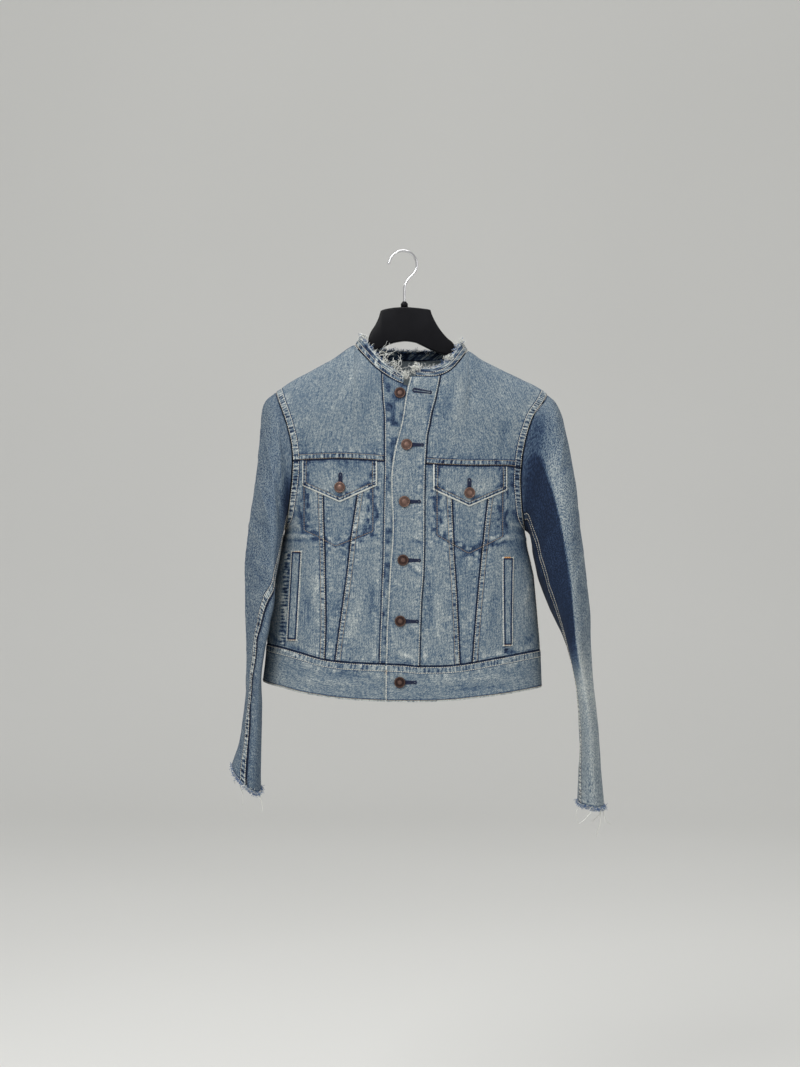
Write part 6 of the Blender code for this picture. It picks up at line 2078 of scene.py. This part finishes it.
class JACKET_OT_plackets(bpy.types.Operator):
    """Button and buttonhole plackets"""
    bl_idname = "jacket.plackets"
    bl_label = "Plackets"

    def execute(self, context):
        dress_plackets()
        return {"FINISHED"}


class JACKET_OT_pockets(bpy.types.Operator):
    """Flaps, pocket bags and welts"""
    bl_idname = "jacket.pockets"
    bl_label = "Pockets"

    def execute(self, context):
        dress_pockets()
        return {"FINISHED"}


class JACKET_OT_back(bpy.types.Operator):
    """Back yoke and panels"""
    bl_idname = "jacket.back"
    bl_label = "Back"

    def execute(self, context):
        dress_back()
        return {"FINISHED"}


class JACKET_OT_waistband(bpy.types.Operator):
    """Waistband all round"""
    bl_idname = "jacket.waistband"
    bl_label = "Waistband"

    def execute(self, context):
        dress_waistband()
        return {"FINISHED"}


class JACKET_OT_neck_band(bpy.types.Operator):
    """Neck band with its raw upper edge"""
    bl_idname = "jacket.neck_band"
    bl_label = "Neck band"

    def execute(self, context):
        require("front_yoke_left", "back_yoke")
        dress_neck_band()
        return {"FINISHED"}


class JACKET_OT_sleeves(bpy.types.Operator):
    """Upper and under sleeves"""
    bl_idname = "jacket.sleeves"
    bl_label = "Sleeves"

    def execute(self, context):
        dress_sleeves()
        return {"FINISHED"}


class JACKET_OT_sewing(bpy.types.Operator):
    """Rows of sewing"""
    bl_idname = "jacket.sewing"
    bl_label = "Sewing"

    def execute(self, context):
        require("sleeve_under_left", "waistband", "neck_band")
        sew_rows()
        return {"FINISHED"}


class JACKET_OT_buttonholes(bpy.types.Operator):
    """Buttonholes and bar tacks"""
    bl_idname = "jacket.buttonholes"
    bl_label = "Buttonholes"

    def execute(self, context):
        require("waistband")
        sew_buttonholes()
        return {"FINISHED"}


class JACKET_OT_neck_fray(bpy.types.Operator):
    """Loose ends on the neck band's raw edge"""
    bl_idname = "jacket.neck_fray"
    bl_label = "Neck fray"

    def execute(self, context):
        require("neck_band")
        fray_neck()
        return {"FINISHED"}


class JACKET_OT_cuff_fray(bpy.types.Operator):
    """Loose ends on the cuffs' raw edges"""
    bl_idname = "jacket.cuff_fray"
    bl_label = "Cuff fray"

    def execute(self, context):
        require("sleeve_under_left")
        fray_cuffs()
        return {"FINISHED"}


class JACKET_OT_buttons(bpy.types.Operator):
    """Metal buttons"""
    bl_idname = "jacket.buttons"
    bl_label = "Buttons"

    def execute(self, context):
        make_buttons()
        return {"FINISHED"}


class JACKET_OT_hanger(bpy.types.Operator):
    """Moulded hanger body and ferrule"""
    bl_idname = "jacket.hanger"
    bl_label = "Hanger"

    def execute(self, context):
        make_hanger()
        return {"FINISHED"}


class JACKET_OT_hook(bpy.types.Operator):
    """Wire hook"""
    bl_idname = "jacket.hook"
    bl_label = "Hook"

    def execute(self, context):
        make_hook()
        return {"FINISHED"}


class JACKET_OT_stage(bpy.types.Operator):
    """Backdrop, lights and camera"""
    bl_idname = "jacket.stage"
    bl_label = "Stage"

    def execute(self, context):
        make_stage()
        return {"FINISHED"}


OPERATORS = (
    JACKET_OT_fronts, JACKET_OT_plackets, JACKET_OT_pockets, JACKET_OT_back, JACKET_OT_waistband,
    JACKET_OT_neck_band, JACKET_OT_sleeves, JACKET_OT_sewing, JACKET_OT_buttonholes,
    JACKET_OT_neck_fray, JACKET_OT_cuff_fray, JACKET_OT_buttons, JACKET_OT_hanger, JACKET_OT_hook,
    JACKET_OT_stage,
)


class JACKET_PT_pieces(bpy.types.Panel):
    """Shows the jacket's settings and the buttons that make its pieces, in the sidebar."""
    bl_label = "Denim jacket"
    bl_space_type = "VIEW_3D"
    bl_region_type = "UI"
    bl_category = "Jacket"

    def draw(self, context):
        for group in GROUPS:
            box = self.layout.box()
            for key in GROUPS[group].__annotations__:
                box.prop(settings(group), key)
        for item in OPERATORS:
            self.layout.operator(item.bl_idname)


GROUPS = {
    "cloth": ClothSettings, "sewing": SewingSettings, "fray": FraySettings,
    "buttons": ButtonSettings, "hanger": HangerSettings, "stage": StageSettings,
}


def register():
    for group, kind in GROUPS.items():
        bpy.utils.register_class(kind)
        setattr(bpy.types.Scene, "jacket_" + group, bpy.props.PointerProperty(type=kind))
    for kind in (*OPERATORS, JACKET_PT_pieces):
        bpy.utils.register_class(kind)


def unregister():
    for kind in (JACKET_PT_pieces, *reversed(OPERATORS)):
        bpy.utils.unregister_class(kind)
    for group, kind in GROUPS.items():
        delattr(bpy.types.Scene, "jacket_" + group)
        bpy.utils.unregister_class(kind)


def main():
    register()
    for kind in OPERATORS:
        group, name = kind.bl_idname.split(".")
        getattr(getattr(bpy.ops, group), name)()


if __name__ == "__main__":
    main()
